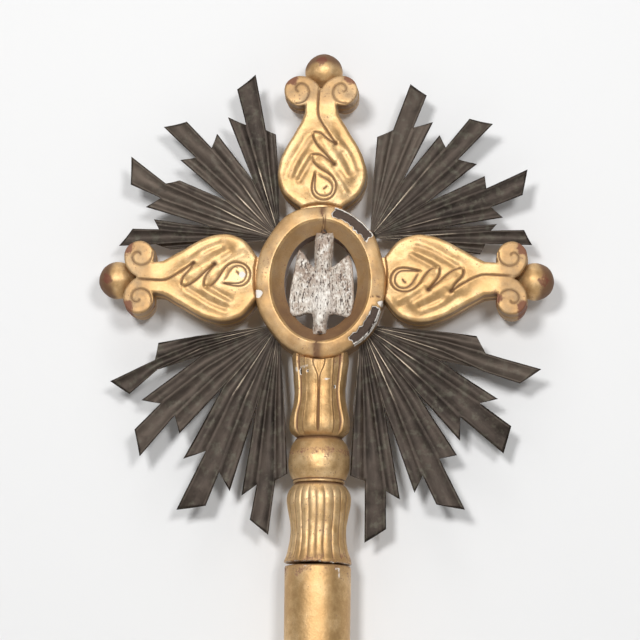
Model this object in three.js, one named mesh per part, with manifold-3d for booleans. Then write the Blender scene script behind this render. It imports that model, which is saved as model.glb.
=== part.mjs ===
// Processional cross: a gilded wooden head with a dove in an oval ring, three carved arms and four fans of
// tin rays, standing by a tenon in the top of a long round staff.
// Millimetres. +Z is up, the front faces -Y, and the origin is the centre of the staff's foot.

import * as THREE from 'three';
import { mergeVertices } from 'three/addons/utils/BufferGeometryUtils.js';
import Module from 'manifold-3d';

const wasm = await Module();
wasm.setup();

// ---- Driving dimensions ----

const gap = 0.3; // between pieces that touch

// Staff and foot
const staffLength = 1450;
const staffTopRadius = 24.5;
const staffFootRadius = 25;
const staffTopEase = 1.5;
const ferruleHeight = 60;
const ferruleWall = 1.5;
const ferruleFloor = 3;
const ferruleRim = 1.2;
const ferruleNailHeight = 42;
const ferruleNailHeadRadius = 3.2;
const ferruleNailHeadHeight = 1.4;
const ferruleNailShankRadius = 1.3;
const ferruleNailLength = 14;

// Core dowel, whose lower end is the tenon that the head lifts off by
const coreRadius = 8;
const coreInRing = 13;
const tenonLength = 80;
const tenonClearance = 0.4;
const tenonEndEase = 1.5;
const socketExtraDepth = 4;

// Stem of the head, from the staff up
const vaseHeight = 61;
const knopHeight = 34;
const calyxHeight = 61;
const calyxOverlap = 2; // the calyx runs up round the ring's lower edge
const vaseReeds = 22;
const reedDepth = 1.1;
const calyxPetals = 12;
const petalDepth = 1.6;

// Oval ring
const openingHalfWidth = 27.4;
const openingHalfHeight = 36.4;
const ringWall = 21.4;
const ringThickness = 38;
const coveWidth = 10;
const coveDepth = 9;
const ringFaceFall = 1.8; // the face falls back a little towards its outer edge
const ringEdgeEase = 3;
const ringSegments = 60;

// Arms
const armThickness = 33;
const armReach = { top: 119.5, left: 119, right: 125.5 };
const armPatternReach = 117; // the arm's outline is drawn for this reach and stretched to its own
const sideArmRise = 2.6;
const armBaseHalfWidth = 16;
const bulbHalfWidth = 33.3;
const neckHalfWidth = 12.5;
const scrollRadius = 11.4;
const scrollSpread = 16.3;
const scrollBelowBall = 17.4;
const cleftHeight = 2.4; // bottom of the cleft between the scrolls, above their centres
const armRoot = 8; // length that runs in under the ring's curve before it is cut to fit
const armEdgeEase = 4.5;
const armDowelRadius = 6;
const armDowelInRing = 12;
const armDowelInArm = 24;

// Ball finials
const ballRadius = 14.1;
const ballPegRadius = 4;
const ballPegLength = 20;

// Dove
const doveThickness = 9;
const doveFront = -13;
const doveNailRadius = 0.8;
const doveNailHeadRadius = 1.9;
const doveNailHeadHeight = 0.8;
const doveNailLength = 17;

// Fans and rays, made of thin sheet
const sheetGauge = 0.7;
const sheetPlane = 3; // the back of the sheets
const pleatSlope = 0.025; // height of a pleat for each mm from the hub
const hubRadius = 1;
const lapWidth = 6;
const sideGap = 0.35; // degrees left between neighbouring blades
const slotEase = 0.5;
const bradRadius = 0.9;
const bradHeadRadius = 2;
const bradHeadHeight = 0.7;
const bradDistance = 3.4; // from the hub, along the middle of the fan
const bradPastSheet = 6;
const pastEveryRay = 200; // from a hub

// The fans. Every angle is in degrees up (or down, in the lower fans) from the level arm beside the fan, and
// every distance is from the fan's hub. A ray is listed by its two edges, the low one first: the flange's tip,
// the crotch between flange and tongue, and the tongue's corner. `slits` lie between neighbouring rays.
const fans = [
  {
    name: 'upper_left',
    side: -1,
    up: 1,
    hub: [-32, 35],
    plateReach: 50,
    from: -6,
    to: 88,
    slits: [10, 36, 65],
    rays: [
      { tips: [[-5.5, 83], [9, 97]], crotches: [[-2.5, 94], [4.5, 92]], tongue: [[-2.5, 122], [4, 112]] },
      { tips: [[13.5, 105], [30.5, 89]], crotches: [[19, 96], [26, 97]], tongue: [[20, 121], [29, 130]] },
      { tips: [[38.5, 98], [59, 95]], crotches: [[44, 90], [53, 88]], tongue: [[44, 125], [51.5, 116]] },
      { tips: [[66.5, 103], [87, 81]], crotches: [[73, 92], [82, 85]], tongue: [[73.5, 120], [81, 128]] },
    ],
  },
  {
    name: 'upper_right',
    side: 1,
    up: 1,
    hub: [36, 37],
    plateReach: 51,
    from: -9.5,
    to: 87,
    slits: [7.5, 31.5, 60.5],
    rays: [
      { tips: [[-9, 84], [6, 96]], crotches: [[-3.5, 87], [3, 91]], tongue: [[-3, 122], [2.5, 116]] },
      { tips: [[8.5, 101], [28.5, 98]], crotches: [[14, 94], [23, 95]], tongue: [[15.5, 119], [23.5, 129]] },
      { tips: [[35, 98], [56.5, 94]], crotches: [[42, 89], [50.5, 89]], tongue: [[43, 126], [50.5, 117]] },
      { tips: [[62, 100], [86.5, 77]], crotches: [[69, 90], [78.5, 84]], tongue: [[69, 117], [76, 122]] },
    ],
  },
  {
    name: 'lower_left',
    side: -1,
    up: -1,
    hub: [-31.6, -30],
    plateReach: 62,
    from: 8.5,
    to: 94.5,
    slits: [22.5, 49, 75.5],
    rays: [
      { tips: [[9, 92], [21, 97]], crotches: [[16.5, 97], [21, 97]], tongue: [[19, 134], [25.5, 124]] },
      { tips: [[29.5, 118], [48.5, 111]], crotches: [[34.5, 107], [42, 104]], tongue: [[37, 134], [44.5, 144]] },
      { tips: [[55.5, 124], [74.5, 131]], crotches: [[61, 110], [69, 120]], tongue: [[62, 159], [69, 147]] },
      { tips: [[78.5, 132], [94, 113]], crotches: [[83, 122], [89.5, 118]], tongue: [[82.5, 149], [88, 159]] },
    ],
  },
  {
    name: 'lower_right',
    side: 1,
    up: -1,
    hub: [30, -30],
    plateReach: 64,
    from: 5,
    to: 94,
    slits: [24.5, 50.5, 74],
    rays: [
      { tips: [[5.5, 87], [20, 98]], crotches: [[13, 96], [21, 98]], tongue: [[14, 139], [20.5, 127]] },
      { tips: [[28.5, 117], [49.5, 115]], crotches: [[33.5, 107], [43, 102]], tongue: [[34, 136], [42, 144]] },
      { tips: [[53.5, 122], [72, 133]], crotches: [[59.5, 117], [67.5, 123]], tongue: [[60.5, 160], [67, 147]] },
      { tips: [[77, 135], [93.5, 114]], crotches: [[81, 127], [88, 118]], tongue: [[82.5, 155], [88.5, 164]] },
    ],
  },
];
const rayNames = ['near_arm', 'inner', 'outer', 'upright'];

// ---- Sizes worked out from the ones above ----

const ringHalfWidth = openingHalfWidth + ringWall;
const ringHalfHeight = openingHalfHeight + ringWall;
const ringCentreHeight = staffLength + vaseHeight + knopHeight + calyxHeight + ringHalfHeight - calyxOverlap;
const sheetPack = pleatSlope * armReach.right + 2 * sheetGauge + gap; // depth of lapped sheets beside an arm

// ---- Materials ----

const finishes = {
  gilding: { color: 0xd9b068, roughness: 0.38, metalness: 0.75 },
  silvering: { color: 0xb8a89c, roughness: 0.55, metalness: 0.35 },
  tin: { color: 0x5c5550, roughness: 0.5, metalness: 0.8 },
  wood: { color: 0x9b7448, roughness: 0.8, metalness: 0 },
  iron: { color: 0x3a3430, roughness: 0.7, metalness: 0.6 },
  brass: { color: 0xb08d48, roughness: 0.4, metalness: 0.9 },
};

// ---- Solids ----

function solidFrom(geometry, insideOut = false) {
  const plain = geometry.clone();
  plain.deleteAttribute('normal');
  plain.deleteAttribute('uv');
  const merged = mergeVertices(plain, 1e-4);
  const corners = merged.index.array;
  const kept = [];
  for (let i = 0; i < corners.length; i += 3) {
    const [a, b, c] = [corners[i], corners[i + 1], corners[i + 2]];
    if (a !== b && b !== c && c !== a) {
      kept.push(a, insideOut ? c : b, insideOut ? b : c);
    }
  }
  const vertProperties = Float32Array.from(merged.attributes.position.array);
  return new wasm.Manifold(new wasm.Mesh({ numProp: 3, vertProperties, triVerts: Uint32Array.from(kept) }));
}

function geometryFrom(solid) {
  const mesh = solid.getMesh();
  const geometry = new THREE.BufferGeometry();
  geometry.setAttribute('position', new THREE.BufferAttribute(mesh.vertProperties, 3));
  geometry.setIndex(new THREE.BufferAttribute(mesh.triVerts, 1));
  geometry.computeVertexNormals();
  return geometry;
}

function piece(name, finish, solid) {
  const mesh = new THREE.Mesh(geometryFrom(solid), new THREE.MeshStandardMaterial(finishes[finish]));
  mesh.name = name;
  return mesh;
}

// A shape drawn in X and Z, given thickness from yFront back to yBack.
function prism(shape, yFront, yBack, curveSegments = 12) {
  const settings = { depth: yBack - yFront, bevelEnabled: false, curveSegments };
  const geometry = new THREE.ExtrudeGeometry(shape, settings);
  geometry.rotateX(Math.PI / 2);
  geometry.translate(0, yBack, 0);
  return geometry;
}

// A round solid about Z from [radius, height] pairs that run up the outside, starting and ending on the axis.
function turned(profile, segments) {
  const points = profile.map(([radius, height]) => new THREE.Vector2(radius, height));
  const geometry = new THREE.LatheGeometry(points, segments);
  geometry.rotateX(Math.PI / 2);
  return geometry;
}

function rod(radius, from, to, segments = 16) {
  const along = new THREE.Vector3().subVectors(to, from);
  const geometry = new THREE.CylinderGeometry(radius, radius, along.length(), segments);
  const upright = new THREE.Vector3(0, 1, 0);
  const turn = new THREE.Quaternion().setFromUnitVectors(upright, along.clone().normalize());
  geometry.applyQuaternion(turn);
  geometry.translate(...new THREE.Vector3().addVectors(from, to).multiplyScalar(0.5).toArray());
  return geometry;
}

// A nail from the underside of its head to its point, with the head on the `from` side.
function nail(shankRadius, headRadius, headHeight, from, to) {
  const back = new THREE.Vector3().subVectors(from, to).setLength(headHeight);
  const head = rod(headRadius, from, new THREE.Vector3().addVectors(from, back), 14);
  return solidFrom(rod(shankRadius, from, to, 10)).add(solidFrom(head));
}

function point(x, y, z) {
  return new THREE.Vector3(x, y, z);
}

// The curve of a turned profile through its [radius, height] knots.
function smoothProfile(knots, steps) {
  const curve = new THREE.SplineCurve(knots.map(([radius, height]) => new THREE.Vector2(radius, height)));
  return curve.getPoints(steps).map((at) => [at.x, at.y]);
}

// ---- Ring ----

function ovalShape(grow) {
  const shape = new THREE.Shape();
  shape.absellipse(0, 0, ringHalfWidth + grow, ringHalfHeight + grow, 0, 2 * Math.PI, false);
  return shape;
}

const ringClearance = solidFrom(prism(ovalShape(gap), -ringThickness, ringThickness, ringSegments / 2));

// Section of the ring as [distance out from the opening's edge, y], front half only.
function ringHalfSection() {
  const face = ringThickness / 2;
  const lip = face - coveDepth;
  return [
    [0, lip],
    [coveWidth * 0.5, lip + coveDepth * 0.38],
    [coveWidth * 0.9, lip + coveDepth * 0.85],
    [coveWidth + 0.5, face],
    [(coveWidth + ringWall) / 2, face - ringFaceFall * 0.3],
    [ringWall - ringEdgeEase, face - ringFaceFall],
    [ringWall - ringEdgeEase * 0.25, face - ringFaceFall - ringEdgeEase * 0.6],
    [ringWall, face - ringFaceFall - ringEdgeEase * 1.6],
  ];
}

function ringBlank() {
  const front = ringHalfSection().map(([out, depth]) => [out, -depth]);
  const back = ringHalfSection().reverse();
  const section = [...front, ...back, front[0]];
  const midRadius = openingHalfWidth;
  const points = section.map(([out, y]) => new THREE.Vector2(midRadius + out, y));
  const geometry = new THREE.LatheGeometry(points, ringSegments);
  const position = geometry.attributes.position;
  const extraHeight = openingHalfHeight - openingHalfWidth;
  for (let i = 0; i < position.count; i++) {
    const x = position.getX(i);
    const z = position.getZ(i);
    position.setZ(i, z + (extraHeight * z) / Math.hypot(x, z));
  }
  return solidFrom(geometry);
}

// ---- Dove ----

// Outline of the dove from the tang behind its tail, up its right side and down its left.
function doveShape(grow) {
  const outline = [
    [5.5, -40], [5.5, -24], [20, -27], [25, -15], [24, 8], [20.5, 21], [12, 15], [8, 10], [8.5, 20], [8.5, 38],
    [-4, 38], [-4, 20], [-5, 10], [-10, 17], [-16, 25], [-19, 16], [-23.5, -14], [-20.5, -26], [-6, -23],
    [-5.5, -40],
  ];
  const centre = new THREE.Vector2(1, 0);
  const reach = 25;
  const points = outline.map(([x, z]) => {
    const at = new THREE.Vector2(x, z).sub(centre);
    return at.multiplyScalar(1 + grow / reach).add(centre);
  });
  return new THREE.Shape(points);
}

const doveNails = [
  { name: 'dove_nail_head', x: 2.2, z: openingHalfHeight + 1.2 },
  { name: 'dove_nail_tail', x: 0, z: -openingHalfHeight - 1.8 },
];

// ---- Fans and rays ----

const radians = THREE.MathUtils.degToRad;

// Fold lines of one ray as [angle, height from 0 to 1]: three flutes, with their creases on the flat.
function foldsOf(fan, index) {
  const edges = [fan.from, ...fan.slits, fan.to];
  const [low, high] = [edges[index], edges[index + 1]];
  const flute = (high - low) / 6;
  return [0, 1, 0, 1, 0, 1, 0].map((height, step) => [low + step * flute, height]);
}

// A pleated sheet between two distances from the hub, drawn for the upper right quarter about a hub at the
// origin. `lift` brings it forward of the sheet plane.
function pleatedSheet(folds, inner, outer, lift) {
  // Drawn flat first, as a zigzag strip 1 thick that climbs 4 at each fold, then bent round the hub.
  const back = folds.map(([angle, height]) => new THREE.Vector2(angle, 4 * height));
  const front = back.map((at) => new THREE.Vector2(at.x, at.y + 1)).reverse();
  const strip = new THREE.Shape([...back, ...front]);
  const geometry = new THREE.ExtrudeGeometry(strip, { depth: 1, bevelEnabled: false });
  const position = geometry.attributes.position;
  for (let i = 0; i < position.count; i++) {
    const angle = radians(position.getX(i));
    const isFront = Math.round(position.getY(i)) % 4 === 1;
    const height = Math.round(position.getY(i) / 4);
    const distance = position.getZ(i) > 0.5 ? outer : inner;
    const y = sheetPlane - height * pleatSlope * distance - lift - (isFront ? sheetGauge : 0);
    position.setXYZ(i, distance * Math.cos(angle), y, distance * Math.sin(angle));
  }
  return geometry;
}

function polar([angle, distance]) {
  return new THREE.Vector2(distance * Math.cos(radians(angle)), distance * Math.sin(radians(angle)));
}

// Moves a geometry drawn for the upper right quarter to its own fan.
function placed(fan, geometry) {
  geometry.scale(fan.side, 1, fan.up);
  geometry.translate(fan.hub[0], 0, fan.hub[1]);
  return solidFrom(geometry, fan.side * fan.up < 0);
}

function sheetPrism(fan, corners) {
  return placed(fan, prism(new THREE.Shape(corners.map(polar)), -ringThickness, ringThickness));
}

function fanPlate(fan) {
  const folds = fan.slits.concat(fan.to).flatMap((_, index) => foldsOf(fan, index).slice(index ? 1 : 0));
  const sheet = placed(fan, pleatedSheet(folds, hubRadius, fan.plateReach * 1.1, 0));
  const [low, high] = [fan.from - 2, fan.to + 2]; // clear of the sheet's own side edges
  const inside = folds.slice(1, -1).map(([angle]) => angle);
  const rim = [low, ...inside, high].map((angle) => [angle, fan.plateReach]);
  const outline = [[low, hubRadius / 2], ...rim, [high, hubRadius / 2]];
  return sheet.intersect(sheetPrism(fan, outline)).subtract(bradHole(fan));
}

function rayBlade(fan, index) {
  const { tips, crotches, tongue } = fan.rays[index];
  const edges = [fan.from, ...fan.slits, fan.to];
  const low = edges[index] + sideGap;
  const high = edges[index + 1] - sideGap;
  const lap = fan.plateReach - lapWidth;
  const outline = [
    [low, lap],
    [low, fan.plateReach],
    tips[0],
    crotches[0],
    tongue[0],
    tongue[1],
    crotches[1],
    tips[1],
    [high, fan.plateReach],
    [high, lap],
  ];
  const widest = foldsOf(fan, index);
  const past = [-3, 0, 0, 0, 0, 0, 3]; // degrees that the sheet runs on past the blade's edges
  const spread = widest.map(([angle, height], at) => [angle + past[at], height]);
  const sheet = placed(fan, pleatedSheet(spread, lap / 2, pastEveryRay, sheetGauge + gap));
  return sheet.intersect(sheetPrism(fan, outline));
}

// The space that a fan takes up in the wood beside it.
function fanSlot(fan) {
  const half = (fan.to - fan.from) / 2;
  const middle = fan.from + half;
  const setBack = polar([middle, -slotEase / Math.sin(radians(half))]);
  const far = [fan.from - 1, middle, fan.to + 1].map((angle) => polar([angle, pastEveryRay]).add(setBack));
  const slotFront = sheetPlane - sheetPack - slotEase;
  const slot = prism(new THREE.Shape([setBack, ...far]), slotFront, sheetPlane + slotEase);
  return placed(fan, slot);
}

const slots = new Map(fans.map((fan) => [fan.name, fanSlot(fan)]));

function bradOf(fan) {
  const at = polar([(fan.from + fan.to) / 2, bradDistance]);
  const x = fan.hub[0] + fan.side * at.x;
  const z = fan.hub[1] + fan.up * at.y;
  return { name: `fan_brad_${fan.name}`, x, z };
}

// ---- Arms and balls ----

// Every arm is worked out pointing up from the ring's edge, then turned to its place.
const arms = [
  { name: 'top', turn: 0, root: ringHalfHeight, shift: 0, beside: ['upper_left', 'upper_right'] },
  { name: 'left', turn: -90, root: ringHalfWidth, shift: sideArmRise, beside: ['upper_left', 'lower_left'] },
  { name: 'right', turn: 90, root: ringHalfWidth, shift: sideArmRise, beside: ['upper_right', 'lower_right'] },
];

function ballCentre(reach) {
  return reach - ballRadius;
}

function armShape(reach) {
  const along = reach / armPatternReach;
  const scrollHeight = ballCentre(reach) - scrollBelowBall;
  const side = [
    [armBaseHalfWidth - 2, -armRoot],
    [armBaseHalfWidth, -1],
    [bulbHalfWidth * 0.73, 4.9 * along],
    [bulbHalfWidth * 0.91, 12 * along],
    [bulbHalfWidth, 24 * along],
    [bulbHalfWidth * 0.885, 39 * along],
    [bulbHalfWidth * 0.61, 55 * along],
    [neckHalfWidth, 68.5 * along],
  ];
  // from a scroll's top down into the cleft, as shares of the scroll's spread and rise
  const rise = scrollRadius - cleftHeight;
  const cleft = [[0.57, 0.9], [0.28, 0.55]].map(([out, up]) => {
    return [out * scrollSpread, scrollHeight + cleftHeight + up * rise];
  });
  const points = (list) => list.map(([x, y]) => new THREE.Vector2(x, y));
  const leftSide = side.map(([x, y]) => [-x, y]).reverse();
  const shape = new THREE.Shape();
  shape.moveTo(...side[0]);
  shape.lineTo(...side[1]);
  shape.splineThru(points(side.slice(2)));
  shape.absarc(scrollSpread, scrollHeight, scrollRadius, radians(-115), radians(90), false);
  shape.lineTo(...cleft[0]);
  shape.lineTo(...cleft[1]);
  shape.lineTo(0, scrollHeight + cleftHeight);
  shape.lineTo(-cleft[1][0], cleft[1][1]);
  shape.lineTo(-cleft[0][0], cleft[0][1]);
  shape.absarc(-scrollSpread, scrollHeight, scrollRadius, radians(90), radians(295), false);
  shape.lineTo(...leftSide[0]);
  shape.splineThru(points(leftSide.slice(1, -1)));
  shape.lineTo(...leftSide[leftSide.length - 1]);
  return shape;
}

function onArm(arm, geometry) {
  geometry.translate(0, 0, arm.root);
  geometry.rotateY(radians(arm.turn));
  geometry.translate(0, 0, arm.shift);
  return solidFrom(geometry);
}

function armDowel(arm, clearance) {
  const from = point(0, 0, -armDowelInRing - clearance);
  const to = point(0, 0, armDowelInArm + clearance);
  return onArm(arm, rod(armDowelRadius + clearance, from, to));
}

function armSolid(arm) {
  const reach = armReach[arm.name];
  const blank = new THREE.ExtrudeGeometry(armShape(reach), {
    depth: armThickness - 2 * armEdgeEase,
    curveSegments: 5,
    bevelThickness: armEdgeEase,
    bevelSize: armEdgeEase,
    bevelOffset: -armEdgeEase,
    bevelSegments: 2,
  });
  blank.rotateX(Math.PI / 2);
  blank.translate(0, armThickness / 2 - armEdgeEase, 0);
  let solid = onArm(arm, blank).subtract(ringClearance);
  solid = solid.subtract(armDowel(arm, gap)).subtract(ballSolid(arm, gap));
  for (const name of arm.beside) {
    solid = solid.subtract(slots.get(name));
  }
  return solid;
}

// The ball on its peg, let into the cleft between the scrolls.
function ballSolid(arm, grow) {
  const centre = ballCentre(armReach[arm.name]);
  const radius = ballRadius + grow;
  const pegRadius = ballPegRadius + grow;
  const pegFoot = centre - ballRadius - ballPegLength - grow;
  const start = Math.asin(pegRadius / radius);
  const arc = (step) => start + (step * (Math.PI - start)) / 9;
  const face = Array.from({ length: 9 }, (_, step) => {
    return [radius * Math.sin(arc(step)), centre - radius * Math.cos(arc(step))];
  });
  const profile = [[0, pegFoot], [pegRadius, pegFoot], ...face, [0, centre + radius]];
  return onArm(arm, turned(profile, 20));
}

// ---- Stem ----

const stemTop = -ringHalfHeight + calyxOverlap;
const calyxFoot = stemTop - calyxHeight;
const knopFoot = calyxFoot - knopHeight;
const vaseFoot = knopFoot - vaseHeight;

// A turned piece whose side is fluted by `count` ribs, bored for the core.
function stemPiece(knots, steps, count, depth) {
  const side = smoothProfile(knots, steps);
  const foot = side[0][1];
  const top = side[side.length - 1][1];
  const geometry = turned([[0, foot], ...side, [0, top]], count ? count * 2 : 36);
  const position = geometry.attributes.position;
  for (let i = 0; i < position.count && count; i++) {
    const [x, y] = [position.getX(i), position.getY(i)];
    const radius = Math.hypot(x, y);
    const inGroove = Math.round(((Math.atan2(x, -y) / Math.PI) * count + 2 * count)) % 2 === 0;
    if (radius > 1 && inGroove) {
      position.setX(i, (x * (radius - depth)) / radius);
      position.setY(i, (y * (radius - depth)) / radius);
    }
  }
  const bore = rod(coreRadius + gap, point(0, 0, foot - 5), point(0, 0, top + 5), 24);
  return solidFrom(geometry).subtract(solidFrom(bore));
}

function calyx() {
  const h = calyxHeight;
  const knots = [
    [17.6, calyxFoot + gap], [20.4, calyxFoot + h * 0.1], [22.4, calyxFoot + h * 0.2],
    [21.6, calyxFoot + h * 0.42], [20.3, calyxFoot + h * 0.72], [21.8, calyxFoot + h * 0.96],
    [21.6, stemTop + 5],
  ];
  return stemPiece(knots, 9, calyxPetals, petalDepth).subtract(ringClearance);
}

function knop() {
  const h = knopHeight;
  const knots = [
    [18.3, knopFoot + gap], [21, knopFoot + h * 0.2], [23, knopFoot + h * 0.52],
    [21, knopFoot + h * 0.82], [17.8, knopFoot + h],
  ];
  return stemPiece(knots, 10, 0, 0);
}

function vase() {
  const h = vaseHeight;
  const knots = [
    [24.6, vaseFoot + gap], [22.4, vaseFoot + h * 0.13], [20.6, vaseFoot + h * 0.36],
    [21.8, vaseFoot + h * 0.58], [23.8, vaseFoot + h * 0.77], [21.6, vaseFoot + h * 0.93],
    [18.3, vaseFoot + h],
  ];
  return stemPiece(knots, 10, vaseReeds, reedDepth);
}

function core(grow) {
  const top = -ringHalfHeight + coreInRing + grow;
  const foot = vaseFoot - tenonLength;
  const radius = coreRadius + grow;
  const end = [radius - tenonEndEase, foot];
  const profile = [[0, foot], end, [radius, foot + 2 * tenonEndEase], [radius, top], [0, top]];
  return solidFrom(turned(profile, 24));
}

// ---- Ring and dove, cut for what is let into them ----

function doveNail(spot, front) {
  const from = point(spot.x, front, spot.z);
  return [from, point(spot.x, front + doveNailLength, spot.z)];
}

function doveNailHoles() {
  const holes = doveNails.map((spot) => {
    const [from, to] = doveNail(spot, doveFront - 6);
    to.y += 6 + gap;
    return solidFrom(rod(doveNailRadius + gap, from, to, 8));
  });
  return holes[0].add(holes[1]);
}

function bradLine(fan) {
  const { x, z } = bradOf(fan);
  const sheetBack = sheetPlane - sheetPack;
  return [point(x, ringThickness / 2 - 3, z), point(x, sheetBack - bradPastSheet, z)];
}

// The oval of the ring's back at a brad is set back from the flat, so each brad stands in a small flat seat.
function bradHole(fan) {
  const [seat, tip] = bradLine(fan);
  const beyond = point(seat.x, ringThickness, seat.z);
  const hole = solidFrom(rod(bradRadius + gap, point(tip.x, tip.y - gap, tip.z), beyond, 8));
  const sink = solidFrom(rod(bradHeadRadius + gap, point(seat.x, seat.y - gap, seat.z), beyond, 12));
  return hole.add(sink);
}

function ringSolid() {
  let solid = ringBlank();
  const doveSeat = prism(doveShape(gap + 0.2), doveFront - 8, doveFront + doveThickness + gap);
  solid = solid.subtract(solidFrom(doveSeat)).subtract(doveNailHoles()).subtract(core(gap));
  for (const arm of arms) {
    solid = solid.subtract(armDowel(arm, gap));
  }
  for (const fan of fans) {
    solid = solid.subtract(slots.get(fan.name)).subtract(bradHole(fan));
  }
  return solid;
}

function doveSolid() {
  return solidFrom(prism(doveShape(0), doveFront, doveFront + doveThickness)).subtract(doveNailHoles());
}

// ---- Staff ----

function staffSolid() {
  const neckRadius = staffFootRadius - ferruleWall - gap;
  const socketRadius = coreRadius + tenonClearance;
  const socketFloor = staffLength - tenonLength - socketExtraDepth;
  const profile = [
    [0, ferruleFloor + gap],
    [neckRadius, ferruleFloor + gap],
    [neckRadius, ferruleHeight + gap],
    [staffFootRadius, ferruleHeight + gap],
    [staffTopRadius, staffLength - staffTopEase],
    [staffTopRadius - staffTopEase, staffLength],
    [socketRadius, staffLength],
    [socketRadius, socketFloor],
    [0, socketFloor],
  ];
  return solidFrom(turned(profile, 40)).subtract(ferruleNailHoles());
}

function ferruleSolid() {
  const inner = staffFootRadius - ferruleWall;
  const profile = [
    [0, 0],
    [staffFootRadius - ferruleRim, 0],
    [staffFootRadius, ferruleRim],
    [staffFootRadius, ferruleHeight],
    [inner, ferruleHeight],
    [inner, ferruleFloor],
    [0, ferruleFloor],
  ];
  return solidFrom(turned(profile, 40)).subtract(ferruleNailHoles());
}

function ferruleNailLine(side) {
  const outside = staffFootRadius + gap;
  return [
    point(side * outside, 0, ferruleNailHeight),
    point(side * (outside - ferruleNailLength), 0, ferruleNailHeight),
  ];
}

function ferruleNailHoles() {
  const holes = [-1, 1].map((side) => {
    const [from, to] = ferruleNailLine(side);
    from.x += side * 5;
    to.x -= side * gap;
    return solidFrom(rod(ferruleNailShankRadius + gap, from, to, 10));
  });
  return holes[0].add(holes[1]);
}

// ---- Assembly ----

const cross = new THREE.Group();
cross.name = 'processional_cross';

const staff = new THREE.Group();
staff.add(piece('staff', 'gilding', staffSolid()));
staff.add(piece('foot_ferrule', 'brass', ferruleSolid()));
for (const [side, name] of [[-1, 'left'], [1, 'right']]) {
  const [from, to] = ferruleNailLine(side);
  const solid = nail(ferruleNailShankRadius, ferruleNailHeadRadius, ferruleNailHeadHeight, from, to);
  staff.add(piece(`ferrule_nail_${name}`, 'iron', solid));
}
cross.add(staff);

const head = new THREE.Group();
head.position.z = ringCentreHeight;
head.add(piece('medallion_ring', 'gilding', ringSolid()));
head.add(piece('dove', 'silvering', doveSolid()));
for (const spot of doveNails) {
  const [from, to] = doveNail(spot, doveFront - gap);
  head.add(piece(spot.name, 'iron', nail(doveNailRadius, doveNailHeadRadius, doveNailHeadHeight, from, to)));
}
for (const arm of arms) {
  head.add(piece(`arm_${arm.name}`, 'gilding', armSolid(arm)));
  head.add(piece(`ball_finial_${arm.name}`, 'gilding', ballSolid(arm, 0)));
  head.add(piece(`arm_dowel_${arm.name}`, 'wood', armDowel(arm, 0)));
}
for (const fan of fans) {
  head.add(piece(`fan_plate_${fan.name}`, 'tin', fanPlate(fan)));
  fan.rays.forEach((_, index) => {
    head.add(piece(`ray_${fan.name}_${rayNames[index]}`, 'tin', rayBlade(fan, index)));
  });
  const [seat, tip] = bradLine(fan);
  const name = `fan_brad_${fan.name}`;
  head.add(piece(name, 'iron', nail(bradRadius, bradHeadRadius, bradHeadHeight, seat, tip)));
}
head.add(piece('petal_calyx', 'gilding', calyx()));
head.add(piece('knop', 'gilding', knop()));
head.add(piece('fluted_vase', 'gilding', vase()));
head.add(piece('core_dowel', 'wood', core(0)));
cross.add(head);

export default cross;
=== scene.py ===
import math

import bmesh
import bpy
import numpy as np
from mathutils import Matrix, Vector, noise


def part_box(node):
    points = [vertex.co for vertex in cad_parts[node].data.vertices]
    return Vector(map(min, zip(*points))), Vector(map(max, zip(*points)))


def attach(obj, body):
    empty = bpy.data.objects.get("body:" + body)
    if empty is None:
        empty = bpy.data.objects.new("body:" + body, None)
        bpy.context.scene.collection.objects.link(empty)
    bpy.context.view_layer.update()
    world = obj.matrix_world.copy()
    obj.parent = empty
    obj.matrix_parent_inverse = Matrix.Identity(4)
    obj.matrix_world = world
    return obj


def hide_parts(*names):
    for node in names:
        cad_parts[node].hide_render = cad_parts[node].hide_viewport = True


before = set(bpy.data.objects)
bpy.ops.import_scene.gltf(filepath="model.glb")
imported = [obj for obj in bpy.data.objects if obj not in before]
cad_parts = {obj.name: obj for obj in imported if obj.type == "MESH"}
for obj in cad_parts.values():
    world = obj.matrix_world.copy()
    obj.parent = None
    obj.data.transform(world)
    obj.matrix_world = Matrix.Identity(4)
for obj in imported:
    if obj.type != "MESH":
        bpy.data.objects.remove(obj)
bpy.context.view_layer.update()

# Processional cross. Shapes are worked out in millimetres about the middle of the oval ring,
# X right, Y back, Z up, and moved to their place in the frame, in metres, at the end.

mm = 0.001
ringLow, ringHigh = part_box("medallion_ring")
ringCentre = Vector((0, 0, (ringLow.z + ringHigh.z) / 2))
ringHalfWidth, ringHalfHeight = 48.8, 57.8
hiddenDepth = 12.0  # what runs in under the ring stays this close to its middle plane
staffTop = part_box("staff")[1].z
vaseFoot = (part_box("fluted_vase")[0].z - ringCentre.z) / mm


def smoothLine(knots, steps):
    # Catmull-Rom curve through the knots, as an array of points
    p = np.array(knots, float)
    p = np.vstack([2 * p[0] - p[1], p, 2 * p[-1] - p[-2]])
    t = np.linspace(0, 1, steps, endpoint=False)[:, None]
    parts = []
    for a, b, c, d in zip(p[:-3], p[1:-2], p[2:-1], p[3:]):
        parts.append(0.5 * (2 * b + (c - a) * t + (2 * a - 5 * b + 4 * c - d) * t ** 2
                            + (3 * b - a - 3 * c + d) * t ** 3))
    return np.vstack(parts + [p[-2:-1]])


def arc(centre, radius, fromDeg, toDeg, steps):
    a = np.radians(np.linspace(fromDeg, toDeg, steps))
    return np.column_stack([centre[0] + radius * np.cos(a), centre[1] + radius * np.sin(a)])


def smoothStep(low, high, x):
    t = np.clip((x - low) / (high - low), 0, 1)
    return t * t * (3 - 2 * t)


def bell(x):
    return np.exp(-x ** 2)


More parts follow.
